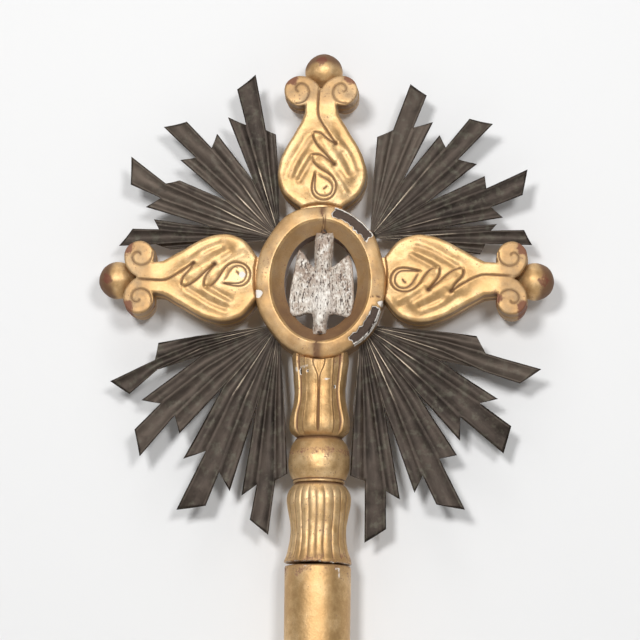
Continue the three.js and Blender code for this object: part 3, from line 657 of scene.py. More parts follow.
def makeRing():
    face = ring["thickness"] / 2
    lip = face - ring["coveDepth"]
    cove, wall = ring["coveWidth"], ring["wall"]
    half = [(0, 0), (0, lip * 0.5), (0, lip - 0.7), (0.4, lip), (cove * 0.30, lip + 1.9),
            (cove * 0.65, lip + 5.0), (cove - 0.7, face - 1.3), (cove, face - 0.45), (cove + 0.6, face),
            (cove + 1.4, face), (cove + 5, face - 0.5), (wall - 3.2, face - 1.4), (wall - 1.3, face - 2.2),
            (wall - 0.3, face - 3.5), (wall, face - 5.6), (wall, face - 11), (wall + 0.3, 4),
            (wall + 0.3, 0)]
    fine = smoothLine(half, 6)
    back = fine[1:-1][::-1]
    section = np.vstack([fine * (1, -1), back, fine[:1] * (1, -1)])
    radius = ring["openingHalfWidth"]
    mesh = spunMesh([(radius + o, y) for o, y in section], ring["steps"], "Y", "ring")
    co = readCo(mesh)
    x, y, z = co.T
    distance = np.hypot(x, z)
    out = distance - radius
    angle = np.degrees(np.arctan2(z, x))
    co[:, 2] += (ring["openingHalfHeight"] - radius) * z / distance
    normal = vertexNormals(mesh)
    # cut by hand: long flats round the oval, never quite even
    flats = 0.40 * np.cos(np.radians(angle * 9 + 20)) + 0.35 * np.cos(np.radians(angle * 5 + 100))
    outward = np.column_stack([x / distance, np.zeros(len(x)), z / distance])
    co += outward * (flats * smoothStep(0.35, 1.0, out / wall))[:, None]
    co += normal * (unevenness(co, 16, 2.0) * 0.40 + unevenness(co, 6, 7.0) * 0.13)[:, None]
    front = smoothStep(4, 8, -y)
    chip = np.zeros(len(co))
    jitter = unevenness(co, 2.6, 4.0) * 1.1 + unevenness(co, 1.1, 9.0) * 0.45
    for low, high, middle, halfWidth in ring["losses"]:
        ends = np.minimum(angle - low, high - angle) * 0.9
        across = halfWidth - np.abs(out - middle)
        inside = np.minimum(ends, across * 1.0) + jitter
        ragged = 1.1 + 2.4 * smoothStep(-0.15, 0.4, unevenness(co, 3.6, 12.0)) * (out < middle)
        chip = np.maximum(chip, smoothStep(-ragged, 1.3, inside) * front)
    for where, size in (((-46.5, -10), 3.2), ((45.5, -17), 2.2)):
        away = np.hypot(co[:, 0] - where[0], co[:, 2] - where[1]) + jitter * 0.8
        chip = np.maximum(chip, 0.36 * smoothStep(size + 1.0, size - 1.0, away) * front)
    co -= normal * (1.35 * smoothStep(0.40, 0.62, chip) + 0.35 * smoothStep(0.08, 0.2, chip))[:, None]
    woodRough = unevenness(co * (1, 1, 0.35), 0.9, 3.0) * 0.35 * smoothStep(0.5, 0.8, chip)
    co += normal * woodRough[:, None]
    flat = co[:, [0, 2]]
    # painted shade on the inner wall of the opening
    glazeAndShade = 0.85 * smoothStep(1.0, 0.75, np.abs(y) / lip) * smoothStep(3, 1, out)
    # painted shade over the cove, heavier towards the bottom
    bevel = smoothStep(face - 0.6, face - 2.0, np.abs(y)) * smoothStep(cove + 1, cove - 1, out)
    glazeAndShade = np.maximum(glazeAndShade, 0.54 * bevel + 0.18 * bevel * smoothStep(10, -30, co[:, 2]))
    glazeAndShade = np.maximum(glazeAndShade, 0.42 + 0.18 * unevenness(co, 13, 6.0))
    # a thin painted highlight along the crease between the face and the cove, where the brown is lifted off
    glazeAndShade *= 1 - 0.85 * bell((out - cove - 0.3) / 0.8) * front
    # painted shade down the outer side wall
    glazeAndShade = np.maximum(glazeAndShade, 0.62 * smoothStep(wall - 1.4, wall, out)
                        * smoothStep(face - 4, face - 8, np.abs(y)))
    cracks = [([(1.4, 58), (0.4, 52), (1.8, 47), (1.2, 42), (-0.6, 36)], 0.45),
              ([(3.2, 50), (3.0, 44), (2.6, 37)], 0.4),
              ([(47, -12.5), (41, -12), (38, -12.6)], 0.35),
              ([(-3, -37), (-2, -45), (-3.5, -52), (-2.6, -58)], 0.4)]
    for line, width in cracks:
        away, _, _, _ = nearestOnLine(flat, smoothLine(line, 6))
        mark = bell(away / width) * front
        co += normal * (-0.45 * mark)[:, None]
        glazeAndShade = np.maximum(glazeAndShade, mark * 0.9)
    stain = bell((co[:, 0] + 1.5) / 3.4) * smoothStep(-40, -48, co[:, 2]) * front
    stain += bell((co[:, 0] - 1.5) / 3.0) * smoothStep(46, 54, co[:, 2]) * front
    rub = 0.26 * stain
    writeCo(mesh, co)
    paintWearAndShade(mesh, glazeAndShade + 0.35 * stain, rub, chip)
    return finishPiece(mesh, "ovalRing", "head", gilding, ["medallion_ring"])


makeRing()
print("ring carved")

dove = {
    "thickness": 9.0, "front": -13.0, "voxel": 0.55, "edgeRadius": 2.2,
    "outline": [(4.6, -40), (4.8, -33), (6.0, -25.5), (10, -24.2), (15, -25.6), (20, -27), (23, -24.5),
                (25, -15), (24.8, -4), (24, 8.5), (23.2, 15), (21, 21), (17, 18.2), (12, 13.8), (8, 10.5),
                (8.6, 18), (9.2, 27), (9.6, 33.5), (8.8, 37.5), (-3.6, 37.5), (-4.8, 33), (-5.0, 25),
                (-4.8, 16), (-5.0, 10.2), (-9.5, 16.4), (-13, 21.6), (-16.4, 25), (-18.2, 20), (-19, 14),
                (-20.8, 4), (-22.6, -6), (-23.6, -16), (-22.6, -23), (-20.4, -26), (-15, -25.4),
                (-10, -23.6), (-6.2, -24), (-5.2, -28), (-5.6, -34), (-5.4, -40)],
}


def makeDove():
    outline = np.array(dove["outline"])
    mesh = slabMesh(outline, dove["thickness"], dove["voxel"], 2)
    co = readCo(mesh)
    d = roundEdges(co, outline, dove["thickness"], np.full(len(co), dove["edgeRadius"]))
    x, y, z = co.T
    front = smoothStep(0.2, 2.0, -y)
    # a fat body down the middle, wings a little hollow, the neck a rounded bar
    body = 3.0 * bell((x - 1.2) / 8.0) * smoothStep(-40, -16, z) * smoothStep(22, 4, z)
    neck = 2.4 * np.sqrt(np.clip(1 - ((x - 2.2) / 7.6) ** 2, 0, 1)) * smoothStep(6, 16, z)
    tail = 1.4 * np.sqrt(np.clip(1 - (x / 6.5) ** 2, 0, 1)) * smoothStep(-20, -28, z)
    wing = -1.3 * bell((np.abs(x - 1) - 13) / 5.5) * smoothStep(-28, -18, z) * smoothStep(16, 6, z)
    shape = (body + neck + tail + wing) * smoothStep(0, 3.5, d)
    glazeAndShade = np.zeros(len(co))
    # cut lines run down the wings and fan out a little towards their tips
    for i in range(-11, 12):
        foot = i * 2.05 + (0.9 if i % 2 else 0.2) * math.sin(i * 2.3)
        top = i * 1.45 + 1.2
        line = smoothLine([(top, 12 - abs(i) * 0.25), (top + (foot - top) * 0.45, -3), (foot, -15),
                           (foot * 1.02, -27)], 6)
        away, _, _, along = nearestOnLine(co[:, [0, 2]], line)
        cut = bell(away / 0.42) * smoothStep(-0.02, 0.15, along) * smoothStep(1.1, 0.96, along)
        shape -= 0.50 * cut
        glazeAndShade = np.maximum(glazeAndShade, cut * 0.7)
    shape += unevenness(co * (1, 1, 0.4), 1.6, 2.0) * 0.35 + unevenness(co, 4.5, 6.0) * 0.4
    co[:, 1] -= shape * front
    co[:, 1] += (unevenness(co, 5, 1.0) * 0.5) * smoothStep(0.2, 2.0, y)
    co[:, 1] += dove["front"] + dove["thickness"] / 2
    writeCo(mesh, co)
    paint(mesh, "glazeAndShade", glazeAndShade)
    paint(mesh, "rub", np.exp(-((x - 1) / 9) ** 2 - ((z + 15) / 14) ** 2)
          + 0.5 * smoothStep(20, 24, np.abs(x - 1)))
    return finishPiece(mesh, "carvedDove", "head", silvering, ["dove"])


makeDove()
print("dove carved")


def makeBall(name):
    reach = arm["reach"][name]
    centre = reach - arm["ballRadius"]
    r = arm["ballRadius"]
    tip = centre - 18.0
    under = smoothLine([(0, tip), (2.6, tip + 2.6), (6.4, tip + 5.0), (10.4, centre - 9.5)], 6)[:-1]
    face = arc((0, centre), r, -42.4, 90, 40)
    face[-1, 0] = 0
    mesh = spunMesh(np.vstack([under, face]), 96, "Z", "ball")
    co = readCo(mesh)
    normal = vertexNormals(mesh)
    seed = {"top": 1.0, "left": 4.0, "right": 7.0}[name]
    co += normal * (unevenness(co, 11, seed) * 0.55 + unevenness(co, 3.5, seed + 2) * 0.13)[:, None]
    up = (co[:, 2] - centre) / r
    patch = np.hypot(co[:, 0] / r, up - 0.48)
    front = smoothStep(0.1, 0.5, -co[:, 1] / r)
    rub = 0.62 * smoothStep(0.62, 0.1, patch + unevenness(co, 5, seed) * 0.25) * front
    # painted shade, darker towards the outer end and the sides of the ball; the lower front is left light as
    # a painted reflection
    glazeAndShade = 0.85 * smoothStep(-0.05, 0.75, up + 0.35 * np.abs(co[:, 0]) / r
                               + unevenness(co, 7, seed) * 0.15)
    x, y, z = co.T.copy()
    out = z + (ringHalfHeight if name == "top" else ringHalfWidth)
    writeCo(mesh, besideRing(name, x, y, out))
    paintWearAndShade(mesh, glazeAndShade, rub, np.zeros(len(co)))
    return finishPiece(mesh, f"ball_{name}", "head", gilding, [f"ball_finial_{name}"])


for side in ("top", "left", "right"):
    makeBall(side)

stem = {"calyxTop": -51.0, "calyxFoot": -116.8, "knopFoot": -150.6, "reeds": 22, "steps": 264}
# where the petals of the calyx meet, in degrees each way from the front, and the narrow strips between pairs
petalEdges = [0, 34, 50, 90, 130, 146, 180]
petalStrips = {(34, 50), (130, 146)}


def finishTurned(mesh, name, co, glazeAndShade, rub, chip, node):
    writeCo(mesh, co)
    paintWearAndShade(mesh, glazeAndShade, rub, chip)
    return finishPiece(mesh, name, "head", gilding, [node])


def makeCalyx():
    top, foot = stem["calyxTop"], stem["calyxFoot"]
    side = smoothLine([(16.2, foot), (17.8, foot + 1.2), (20.6, foot + 4.5), (21.7, foot + 10),
                       (21.0, foot + 17), (19.0, foot + 26), (18.2, foot + 35), (18.8, foot + 44),
                       (20.2, foot + 54), (20.6, foot + 60), (19.6, top)], 9)
    profile = np.vstack([[(0, foot)], side, [(0, top)]])
    mesh = spunMesh(profile, stem["steps"], "Z", "calyx")
    co = readCo(mesh)
    x, y, z = co.T
    radius = np.hypot(x, y)
    angle = np.degrees(np.arctan2(x, -y))
    turn = np.abs(angle)
    arcLength = math.pi / 180 * 20.5  # of one degree round the calyx
    bulge = np.zeros(len(co))
    glazeAndShade = np.zeros(len(co))
    live = smoothStep(foot + 0.5, foot + 6, z)
    for low, high in zip(petalEdges[:-1], petalEdges[1:]):
        here = (turn >= low) & (turn <= high)
        mid, half = (low + high) / 2, (high - low) / 2
        f = np.abs(turn - mid) / half
        edge = (1 - f) * half * arcLength
        if (low, high) in petalStrips:
            shape = -0.9 + 0.5 * bell(edge / 0.8)
        else:
            rolledEdge = 0.42 * bell((edge - 1.5) / 0.75)
            shape = 1.35 * np.sqrt(np.clip(1 - f ** 2.4, 0, 1)) + rolledEdge - 0.3
        shape -= 0.9 * bell(edge / 0.55)
        bulge = np.where(here, shape, bulge)
        glazeAndShade = np.where(here, 0.85 * bell(edge / 0.75), glazeAndShade)
    # the tip of a sepal shows in the notch between the petals, front and back
    for centre in (0, 90, 180):
        off = np.abs(turn - centre) * arcLength
        notch = 0.25 + 4.3 * smoothStep(foot + 39, foot + 56, z) ** 1.6
        inside = smoothStep(notch + 0.45, notch - 0.45, off) * smoothStep(foot + 34, foot + 40, z)
        bulge = bulge * (1 - inside) + (-0.85 + 0.35 * bell(off / 0.9)) * inside
        rim = bell((off - notch) / 0.5) * smoothStep(foot + 34, foot + 40, z)
        glazeAndShade = np.maximum(glazeAndShade * (1 - inside * 0.7), 0.75 * rim)
    outward = np.column_stack([x, y, np.zeros(len(x))]) / np.maximum(radius, 1e-6)[:, None]
    wave = unevenness(co, 13, 3.0) * 0.5 + unevenness(co, 4.5, 5.0) * 0.18
    co += outward * ((bulge * live + wave) * (radius > 2))[:, None]
    # knocks and losses in the gilding under the ring, pinkish with white
    jitter = unevenness(co, 2.2, 4.0) * 1.2 + unevenness(co, 0.9, 1.0) * 0.5
    chip = np.zeros(len(co))
    front = smoothStep(2, 8, -y)
    for cx, cz, sx, sz, most in ((-17.0, -66.0, 1.6, 2.6, 0.24), (-10.5, -64.5, 3.4, 2.2, 0.19),
                                 (-13.8, -67.5, 0.9, 3.2, 0.75), (5.8, -74.2, 3.6, 1.0, 0.22),
                                 (11.6, -79.5, 0.8, 1.6, 0.8), (-8.6, -68.0, 1.2, 0.8, 0.7)):
        spot = 1 - np.hypot((co[:, 0] - cx) / sx, (co[:, 2] - cz) / sz) + jitter * 0.30
        chip = np.maximum(chip, most * smoothStep(-0.1, 0.35, spot) * front)
    co -= outward * (1.1 * smoothStep(0.25, 0.6, chip) * (radius > 2))[:, None]
    rub = 0.40 * smoothStep(-68, -59, z) + 0.22 * smoothStep(foot + 12, foot + 2, z)
    underRing = smoothStep(1.03, 1.01, np.hypot(co[:, 0] / ringHalfWidth, co[:, 2] / ringHalfHeight))
    co[:, 1] = co[:, 1] * (1 - underRing) + np.clip(co[:, 1], -hiddenDepth, hiddenDepth) * underRing
    glazeAndShade = np.maximum(glazeAndShade * live, 0.75 * smoothStep(foot + 3, foot, z))
    # painted shade down the sides of the calyx
    glazeAndShade = np.maximum(glazeAndShade, 0.45 * smoothStep(60, 100, turn) * smoothStep(150, 120, turn) * 0.5)
    return finishTurned(mesh, "petalCalyx", co, glazeAndShade, rub, chip, "petal_calyx")


def makeKnop():
    top, foot = stem["calyxFoot"] - 0.2, stem["knopFoot"]
    side = smoothLine([(17.2, foot), (18.9, foot + 0.5), (19.2, foot + 1.4), (18.7, foot + 2.4),
                       (20.4, foot + 4.8), (22.4, foot + 10), (23.0, foot + 16.5), (22.4, foot + 23),
                       (20.6, foot + 28.5), (18.2, foot + 32), (17.0, top)], 9)
    mesh = spunMesh(np.vstack([[(0, foot)], side, [(0, top)]]), stem["steps"], "Z", "knop")
    co = readCo(mesh)
    normal = vertexNormals(mesh)
    co += normal * (unevenness(co, 15, 9.0) * 0.55 + unevenness(co, 5, 2.0) * 0.16)[:, None]
    z = co[:, 2]
    # painted shade towards the top of the knop, under the calyx, and brown in the groove above the foot bead
    glazeAndShade = np.maximum(0.80 * smoothStep(top - 4, top, z), 0.9 * bell((z - foot - 2.5) / 0.6))
    glazeAndShade = np.maximum(glazeAndShade, 0.35 * smoothStep(foot + 21, top - 3, z))
    lowRight = smoothStep(8, 18, co[:, 0]) * smoothStep(foot + 12, foot + 4, z)
    rub = 0.50 * bell((z - foot - 23) / 6) + 0.25 * lowRight
    return finishTurned(mesh, "knopBall", co, glazeAndShade, rub, np.zeros(len(co)), "knop")


def makeVase():
    top, foot = stem["knopFoot"] - 0.3, vaseFoot + 0.6
    side = smoothLine([(23.2, foot), (24.9, foot + 0.7), (24.6, foot + 3), (23.0, foot + 7),
                       (21.2, foot + 14), (20.4, foot + 21), (20.6, foot + 29), (22.0, foot + 38),
                       (23.2, foot + 46), (22.8, foot + 52), (20.6, foot + 57), (18.0, foot + 60),
                       (17.4, top)], 8)
    mesh = spunMesh(np.vstack([[(0, foot + 0.6)], side, [(0, top)]]), stem["steps"], "Z", "vase")
    co = readCo(mesh)
    x, y, z = co.T
    radius = np.hypot(x, y)
    angle = np.arctan2(x, -y)
    wobble = 0.035 * np.sin(angle * 3 + 1) + 0.02 * np.sin(z * 0.12 + angle * 2)
    phase = ((angle + wobble) / (2 * math.pi) * stem["reeds"]) % 1
    across = np.abs(phase - 0.5) * 2
    reach = smoothStep(foot + 1.0, foot + 5, z) * smoothStep(top - 1.0, top - 8, z)
    reed = (1.25 * np.sqrt(np.clip(1 - across ** 2.2, 0, 1)) - 0.8) * reach
    ragged = unevenness(co, 3.2, 8.0) * 0.8 + unevenness(co, 1.2, 3.0) * 0.45
    outward = np.column_stack([x, y, np.zeros(len(x))]) / np.maximum(radius, 1e-6)[:, None]
    wave = unevenness(co, 14, 6.0) * 0.45 + unevenness(co, 5, 1.0) * 0.15
    co += outward * ((reed + wave) * (radius > 16))[:, None]
    rim = smoothStep(foot + 2.2, foot, z) * (radius > 16)
    co[:, 2] += rim * (ragged + 0.5 + 0.030 * (12 - x))
    glazeAndShade = 0.70 * smoothStep(0.70, 0.98, across) * reach
    glazeAndShade = np.maximum(glazeAndShade, 0.85 * smoothStep(top - 3.4, top, z))
    glazeAndShade = np.maximum(glazeAndShade, 0.30 * bell((z - foot - 22) / 9))
    shoulder = bell((z - foot - 44) / 8)
    rub = 0.44 * smoothStep(foot + 16, foot + 3, z) + 0.24 * (1 - across) * shoulder
    chip = 0.22 * smoothStep(0.5, 1.0, rim + unevenness(co, 1.8, 5.0) * 0.6) * smoothStep(0.7, 0.95, rim)
    return finishTurned(mesh, "flutedVase", co, glazeAndShade, rub, chip, "fluted_vase")


makeCalyx()
makeKnop()
makeVase()
print("stem turned")

staff = {
    "topRadius": 24.5, "footRadius": 25.0, "ferruleHeight": 60.0,
    "tenonRadius": 23.1, "tenonFoot": 3.4,  # what stands inside the ferrule
    "boreRadius": 8.5, "boreDepth": 84.0,
    "gripLow": 950.0, "gripHigh": 1250.0,
    "knocks": 26,
}


def makeStaff():
    length = staffTop / mm
    rows = np.linspace(staff["ferruleHeight"] + 0.4, length - 3, 240)
    slope = (staff["topRadius"] - staff["footRadius"]) / length
    wall = [(staff["footRadius"] + slope * z, z) for z in rows]
    top = staff["topRadius"]
    bore, boreFoot = staff["boreRadius"], length - staff["boreDepth"]
    crown = [(top, length - 1.6), (top - 0.6, length - 0.4), (top - 1.8, length), (bore, length),
             (bore, boreFoot), (0, boreFoot)]
    tenon, tenonFoot = staff["tenonRadius"], staff["tenonFoot"]
    shoulder = staff["ferruleHeight"] + 0.2
    foot = [(0, tenonFoot), (tenon, tenonFoot), (tenon, shoulder), (24.6, shoulder)]
    mesh = spunMesh(foot + wall + crown, 120, "Z", "staff")
    co = readCo(mesh)
    normal = vertexNormals(mesh)
    z = co[:, 2].copy()
    skin = smoothStep(15, 22, np.hypot(co[:, 0], co[:, 1])) * smoothStep(62, 70, z)
    wave = unevenness(co * (1, 1, 0.12), 16, 3.0) * 0.42 + unevenness(co * (1, 1, 0.5), 7, 6.0) * 0.10
    co += normal * (wave * skin)[:, None]
    grip = smoothStep(staff["gripLow"] - 150, staff["gripLow"], z)
    grip *= smoothStep(staff["gripHigh"] + 150, staff["gripHigh"], z)
    rub = 0.40 * grip + 0.36 * smoothStep(170, 70, z) + 0.42 * smoothStep(length - 26, length - 2, z)
    jitter = unevenness(co * (1, 1, 0.5), 2.5, 5.0) + unevenness(co, 1.0, 7.0) * 0.5
    chip = np.zeros(len(co))
    for cx, cz, sx, sz in ((16.5, -9, 1.4, 5.5), (18.5, -17, 0.9, 4.0), (15.0, -3.0, 2.4, 1.4),
                           (-8, -2, 3.0, 1.2)):
        spot = 1 - np.hypot((co[:, 0] - cx) / sx, (z - length - cz) / sz) + jitter * 0.35
        chip = np.maximum(chip, 0.21 * smoothStep(0.0, 0.4, spot) * smoothStep(5, 12, -co[:, 1]))
    for i in range(staff["knocks"]):
        # knocks down the length, most of them near the foot
        at = 90 + 1200 * ((i * 0.618) % 1) ** 2
        turn = i * 2.4
        near = np.hypot((np.arctan2(co[:, 0], -co[:, 1]) - (turn % 6.28 - 3.14)) * 25 / 2.0,
                        (z - at) / (2.2 + i % 4))
        deep = 0.36 + 0.3 * (i % 3 == 0)
        chip = np.maximum(chip, deep * smoothStep(1.0, 0.5, near + jitter * 0.3) * skin)
    co -= normal * (0.5 * smoothStep(0.1, 0.6, chip))[:, None]
    paint(mesh, "glazeAndShade", 0.55 * smoothStep(length - 2.5, length, z) + 0.5 * smoothStep(90, 60, z))
    paint(mesh, "rub", rub)
    paint(mesh, "chip", chip)
    writeCo(mesh, co * mm)
    return finishPiece(mesh, "staffPole", "staff", gilding, ["staff"], toFrame=False)


def makeFerrule():
    h, r = staff["ferruleHeight"], staff["footRadius"]
    profile = [(0, 0), (r - 2.4, 0), (r - 0.9, 0.35), (r - 0.1, 1.4), (r, 3), (r, 9), (r + 0.9, 10),
               (r + 1.1, 11), (r + 0.9, 12), (r, 13), (r, 30), (r, h - 7), (r + 0.7, h - 6),
               (r + 0.9, h - 5), (r + 0.7, h - 4), (r, h - 3), (r + 0.1, h - 0.8), (r - 0.3, h),
               (r - 1.3, h), (r - 1.5, h - 1), (r - 1.5, 3), (0, 3)]
    mesh = spunMesh(profile, 120, "Z", "ferrule")
    bm = bmesh.new()
    bm.from_mesh(mesh)
    sharp = [e for e in bm.edges if len(e.link_faces) == 2 and e.calc_face_angle() > 0.5]
    bmesh.ops.bevel(bm, geom=sharp, offset=0.25, offset_type="OFFSET", affect="EDGES", segments=2,
                    profile=0.5, material=-1)
    bm.to_mesh(mesh)
    bm.free()
    co = readCo(mesh)
    dents = unevenness(co, 12, 2.0) * 0.35 + unevenness(co, 4, 4.0) * 0.10
    outside = smoothStep(r - 1.4, r - 0.4, np.hypot(co[:, 0], co[:, 1])) * smoothStep(0.5, 3, co[:, 2])
    co += vertexNormals(mesh) * (dents * outside)[:, None]
    writeCo(mesh, co * mm)
    return finishPiece(mesh, "footFerrule", "staff", agedBrass, ["foot_ferrule"], toFrame=False)


makeStaff()
makeFerrule()
print("staff made")


sheet = {
    "gauge": 0.35, "plane": 3.0, "gap": 0.08, "hubReach": 1.2, "fluteColumns": 8,
    "slope": 0.022,  # how high a crease stands, as a share of its distance from the hub
    "flattensFrom": 60, "flattensOver": 50, "flattensBy": 0.45,
    "looseOver": 20,
    "lastShare": 0.99999,
}

# Every angle is in degrees up (down in the lower fans) from the level arm beside the fan, and every distance
# is in mm from the fan's hub. A ray has its two flange tips, the two crotches where the tongue leaves its
# flanges, and the tongue's two corners, the lower edge first. bend lifts the tongue, in mm at its end.
fans = {
    "upper_left": {
        "side": -1, "up": 1, "hub": (-32, 35), "plateReach": 50, "edges": [-6, 10, 36, 65, 88],
        "rays": [
            {"tips": [(-5.5, 83), (9, 97)], "crotches": [(-2.5, 94), (4.5, 92)],
             "tongue": [(-2.5, 122), (4, 112)], "bend": 1.5},
            {"tips": [(13.5, 105), (30.5, 89)], "crotches": [(19, 96), (26, 97)],
             "tongue": [(20, 121), (29, 130)], "bend": -2.5},
            {"tips": [(38.5, 98), (59, 95)], "crotches": [(44, 90), (53, 88)],
             "tongue": [(44, 125), (51.5, 116)], "bend": 2.0},
            {"tips": [(66.5, 103), (87, 81)], "crotches": [(73, 92), (82, 85)],
             "tongue": [(73.5, 120), (81, 128)], "bend": -3.0},
        ],
    },
    "upper_right": {
        "side": 1, "up": 1, "hub": (36, 37), "plateReach": 51, "edges": [-9.5, 7.5, 31.5, 60.5, 87],
        "rays": [
            {"tips": [(-9, 84), (6, 96)], "crotches": [(-3.5, 87), (3, 91)],
             "tongue": [(-3, 122), (2.5, 116)], "bend": -1.5},
            {"tips": [(8.5, 101), (28.5, 98)], "crotches": [(14, 94), (23, 95)],
             "tongue": [(15.5, 119), (23.5, 129)], "bend": -2.0},
            {"tips": [(35, 98), (56.5, 94)], "crotches": [(42, 89), (50.5, 89)],
             "tongue": [(43, 126), (50.5, 117)], "bend": -4.0},
            {"tips": [(62, 100), (86.5, 77)], "crotches": [(69, 90), (78.5, 84)],
             "tongue": [(69, 117), (76, 122)], "bend": 3.0},
        ],
    },
    "lower_left": {
        "side": -1, "up": -1, "hub": (-31.6, -30), "plateReach": 62, "edges": [8.5, 22.5, 49, 75.5, 94.5],
        "rays": [
            {"tips": [(9, 92), (21, 97)], "crotches": [(16.5, 97), (21, 97)],
             "tongue": [(19, 134), (25.5, 124)], "bend": 2.5},
            {"tips": [(29.5, 118), (48.5, 111)], "crotches": [(34.5, 107), (42, 104)],
             "tongue": [(37, 134), (44.5, 144)], "bend": -2.0},
            {"tips": [(55.5, 124), (74.5, 131)], "crotches": [(61, 110), (69, 120)],
             "tongue": [(62, 159), (69, 147)], "bend": 1.0},
            {"tips": [(78.5, 132), (94, 113)], "crotches": [(83, 122), (89.5, 118)],
             "tongue": [(82.5, 149), (88, 159)], "bend": -2.5},
        ],
    },
    "lower_right": {
        "side": 1, "up": -1, "hub": (30, -30), "plateReach": 64, "edges": [5, 24.5, 50.5, 74, 94],
        "rays": [
            {"tips": [(5.5, 87), (20, 98)], "crotches": [(13, 96), (21, 98)],
             "tongue": [(14, 139), (20.5, 127)], "bend": -1.5},
            {"tips": [(28.5, 117), (49.5, 115)], "crotches": [(33.5, 107), (43, 102)],
             "tongue": [(34, 136), (42, 144)], "bend": 3.0},
            {"tips": [(53.5, 122), (72, 133)], "crotches": [(59.5, 117), (67.5, 123)],
             "tongue": [(60.5, 160), (67, 147)], "bend": -3.0},
            {"tips": [(77, 135), (93.5, 114)], "crotches": [(81, 127), (88, 118)],
             "tongue": [(82.5, 155), (88.5, 164)], "bend": 2.0},
        ],
    },
}
rayNames = ["near_arm", "inner", "outer", "upright"]


def polar(point):
    a = math.radians(point[0])
    return np.array([math.cos(a), math.sin(a)]) * point[1]


def fluteHeight(s):
    # three hollow flutes across a ray, s from 0 to 1: sharp creases stand up between them
    f = (s * 3) % 1
    return abs(2 * f - 1) ** 1.6


def sheetGrid(bm, lowLine, highLine, columns, rows, spanFrom, spanTo, tag):
    # a patch of the ray between two edge lines, each a start and an end; the span is its share of the width
    made = bmesh.ops.create_grid(bm, x_segments=columns, y_segments=rows, size=0.5)["verts"]
    lowStart, lowEnd = lowLine
    highStart, highEnd = highLine
    for v in made:
        s, t = v.co.x + 0.5, v.co.y + 0.5
        start = lowStart + (highStart - lowStart) * s
        end = lowEnd + (highEnd - lowEnd) * s
        at = start + (end - start) * t
        v.co = (at[0], 0, at[1])
        v[tag] = spanFrom + (spanTo - spanFrom) * s


def makeRay(fanName, index):
    fan = fans[fanName]
    rayData = fan["rays"][index]
    low, high = fan["edges"][index], fan["edges"][index + 1]
    lap = sheet["hubReach"]
    tips, crotches, tongue = rayData["tips"], rayData["crotches"], rayData["tongue"]
    third = (high - low) / 3
    base = [polar((low + third * k, lap)) for k in range(4)]
    slits = [polar((low + third * k, fan["plateReach"])) for k in range(4)]
    level = [polar((low + (tips[0][0] - low) * 0.82, crotches[0][1] * 0.98)),
             polar(crotches[0]), polar(crotches[1]),
             polar((high + (tips[1][0] - high) * 0.82, crotches[1][1] * 0.98))]
    # the flanges' outer edges run straight from the slit to the tip
    for k, tip in ((0, tips[0]), (3, tips[1])):
        slit = polar((low if k == 0 else high, fan["plateReach"]))
        end = polar(tip)
        share = np.linalg.norm(level[k] - slit) / max(np.linalg.norm(end - slit), 1e-6)
        level[k] = slit + (end - slit) * min(share, 0.93)
    bm = bmesh.new()
    tag = bm.verts.layers.float.new("span")
    n = sheet["fluteColumns"]
    for k in range(3):
        span = (k / 3, (k + 1) / 3)
        sheetGrid(bm, (base[k], slits[k]), (base[k + 1], slits[k + 1]), n, 20, *span, tag)
        sheetGrid(bm, (slits[k], level[k]), (slits[k + 1], level[k + 1]), n, 18, *span, tag)
    sheetGrid(bm, (level[1], polar(tongue[0])), (level[2], polar(tongue[1])), n, 16, 1 / 3, 2 / 3, tag)
    sheetGrid(bm, (level[0], polar(tips[0])), (level[1], level[1]), n, 6, 0, 1 / 3, tag)
    if math.dist(tips[1], crotches[1]) > 0.5:
        sheetGrid(bm, (level[2], level[2]), (level[3], polar(tips[1])), n, 6, 2 / 3, 1, tag)
    bmesh.ops.remove_doubles(bm, verts=bm.verts, dist=0.02)
    bmesh.ops.dissolve_degenerate(bm, edges=bm.edges, dist=0.001)
    seed = 3.3 * index + 11 * list(fans).index(fanName)
    crotchReach = (crotches[0][1] + crotches[1][1]) / 2
    behindBlade = sheet["plane"] - sheet["gauge"] - sheet["gap"]
    for v in bm.verts:
        reach = math.hypot(v.co.x, v.co.z)
        s = v[tag]
        rise = fluteHeight(min(max(s, 0), sheet["lastShare"])) * sheet["slope"] * reach
        loose = min(1.0, max(0.0, (reach - fan["plateReach"]) / sheet["looseOver"]))
        fade = min(1.0, min(s, 1 - s) * 9 + 0.25) * loose + 1 - loose
        flattened = min(1.0, max(0.0, (reach - sheet["flattensFrom"]) / sheet["flattensOver"]))
        rise *= 1.0 - sheet["flattensBy"] * flattened
        beyond = max(0.0, reach - crotchReach)
        if 0.30 < s < 0.70:
            bend = rayData["bend"] * (beyond / 40) ** 1.3
        else:
            bend = rayData["bend"] * -0.25 * beyond / 20
        drift = noise.noise(Vector((v.co.x / 30, v.co.z / 30, seed))) * 1.3
        ripple = noise.noise(Vector((v.co.x / 8, v.co.z / 8, seed + 5))) * 0.35
        v.co.y = behindBlade - rise * fade + (drift + ripple + bend) * loose
    node = f"ray_{fanName}_{rayNames[index]}"
    return finishSheet(bm, fan, f"{node}_tin", node, seed)


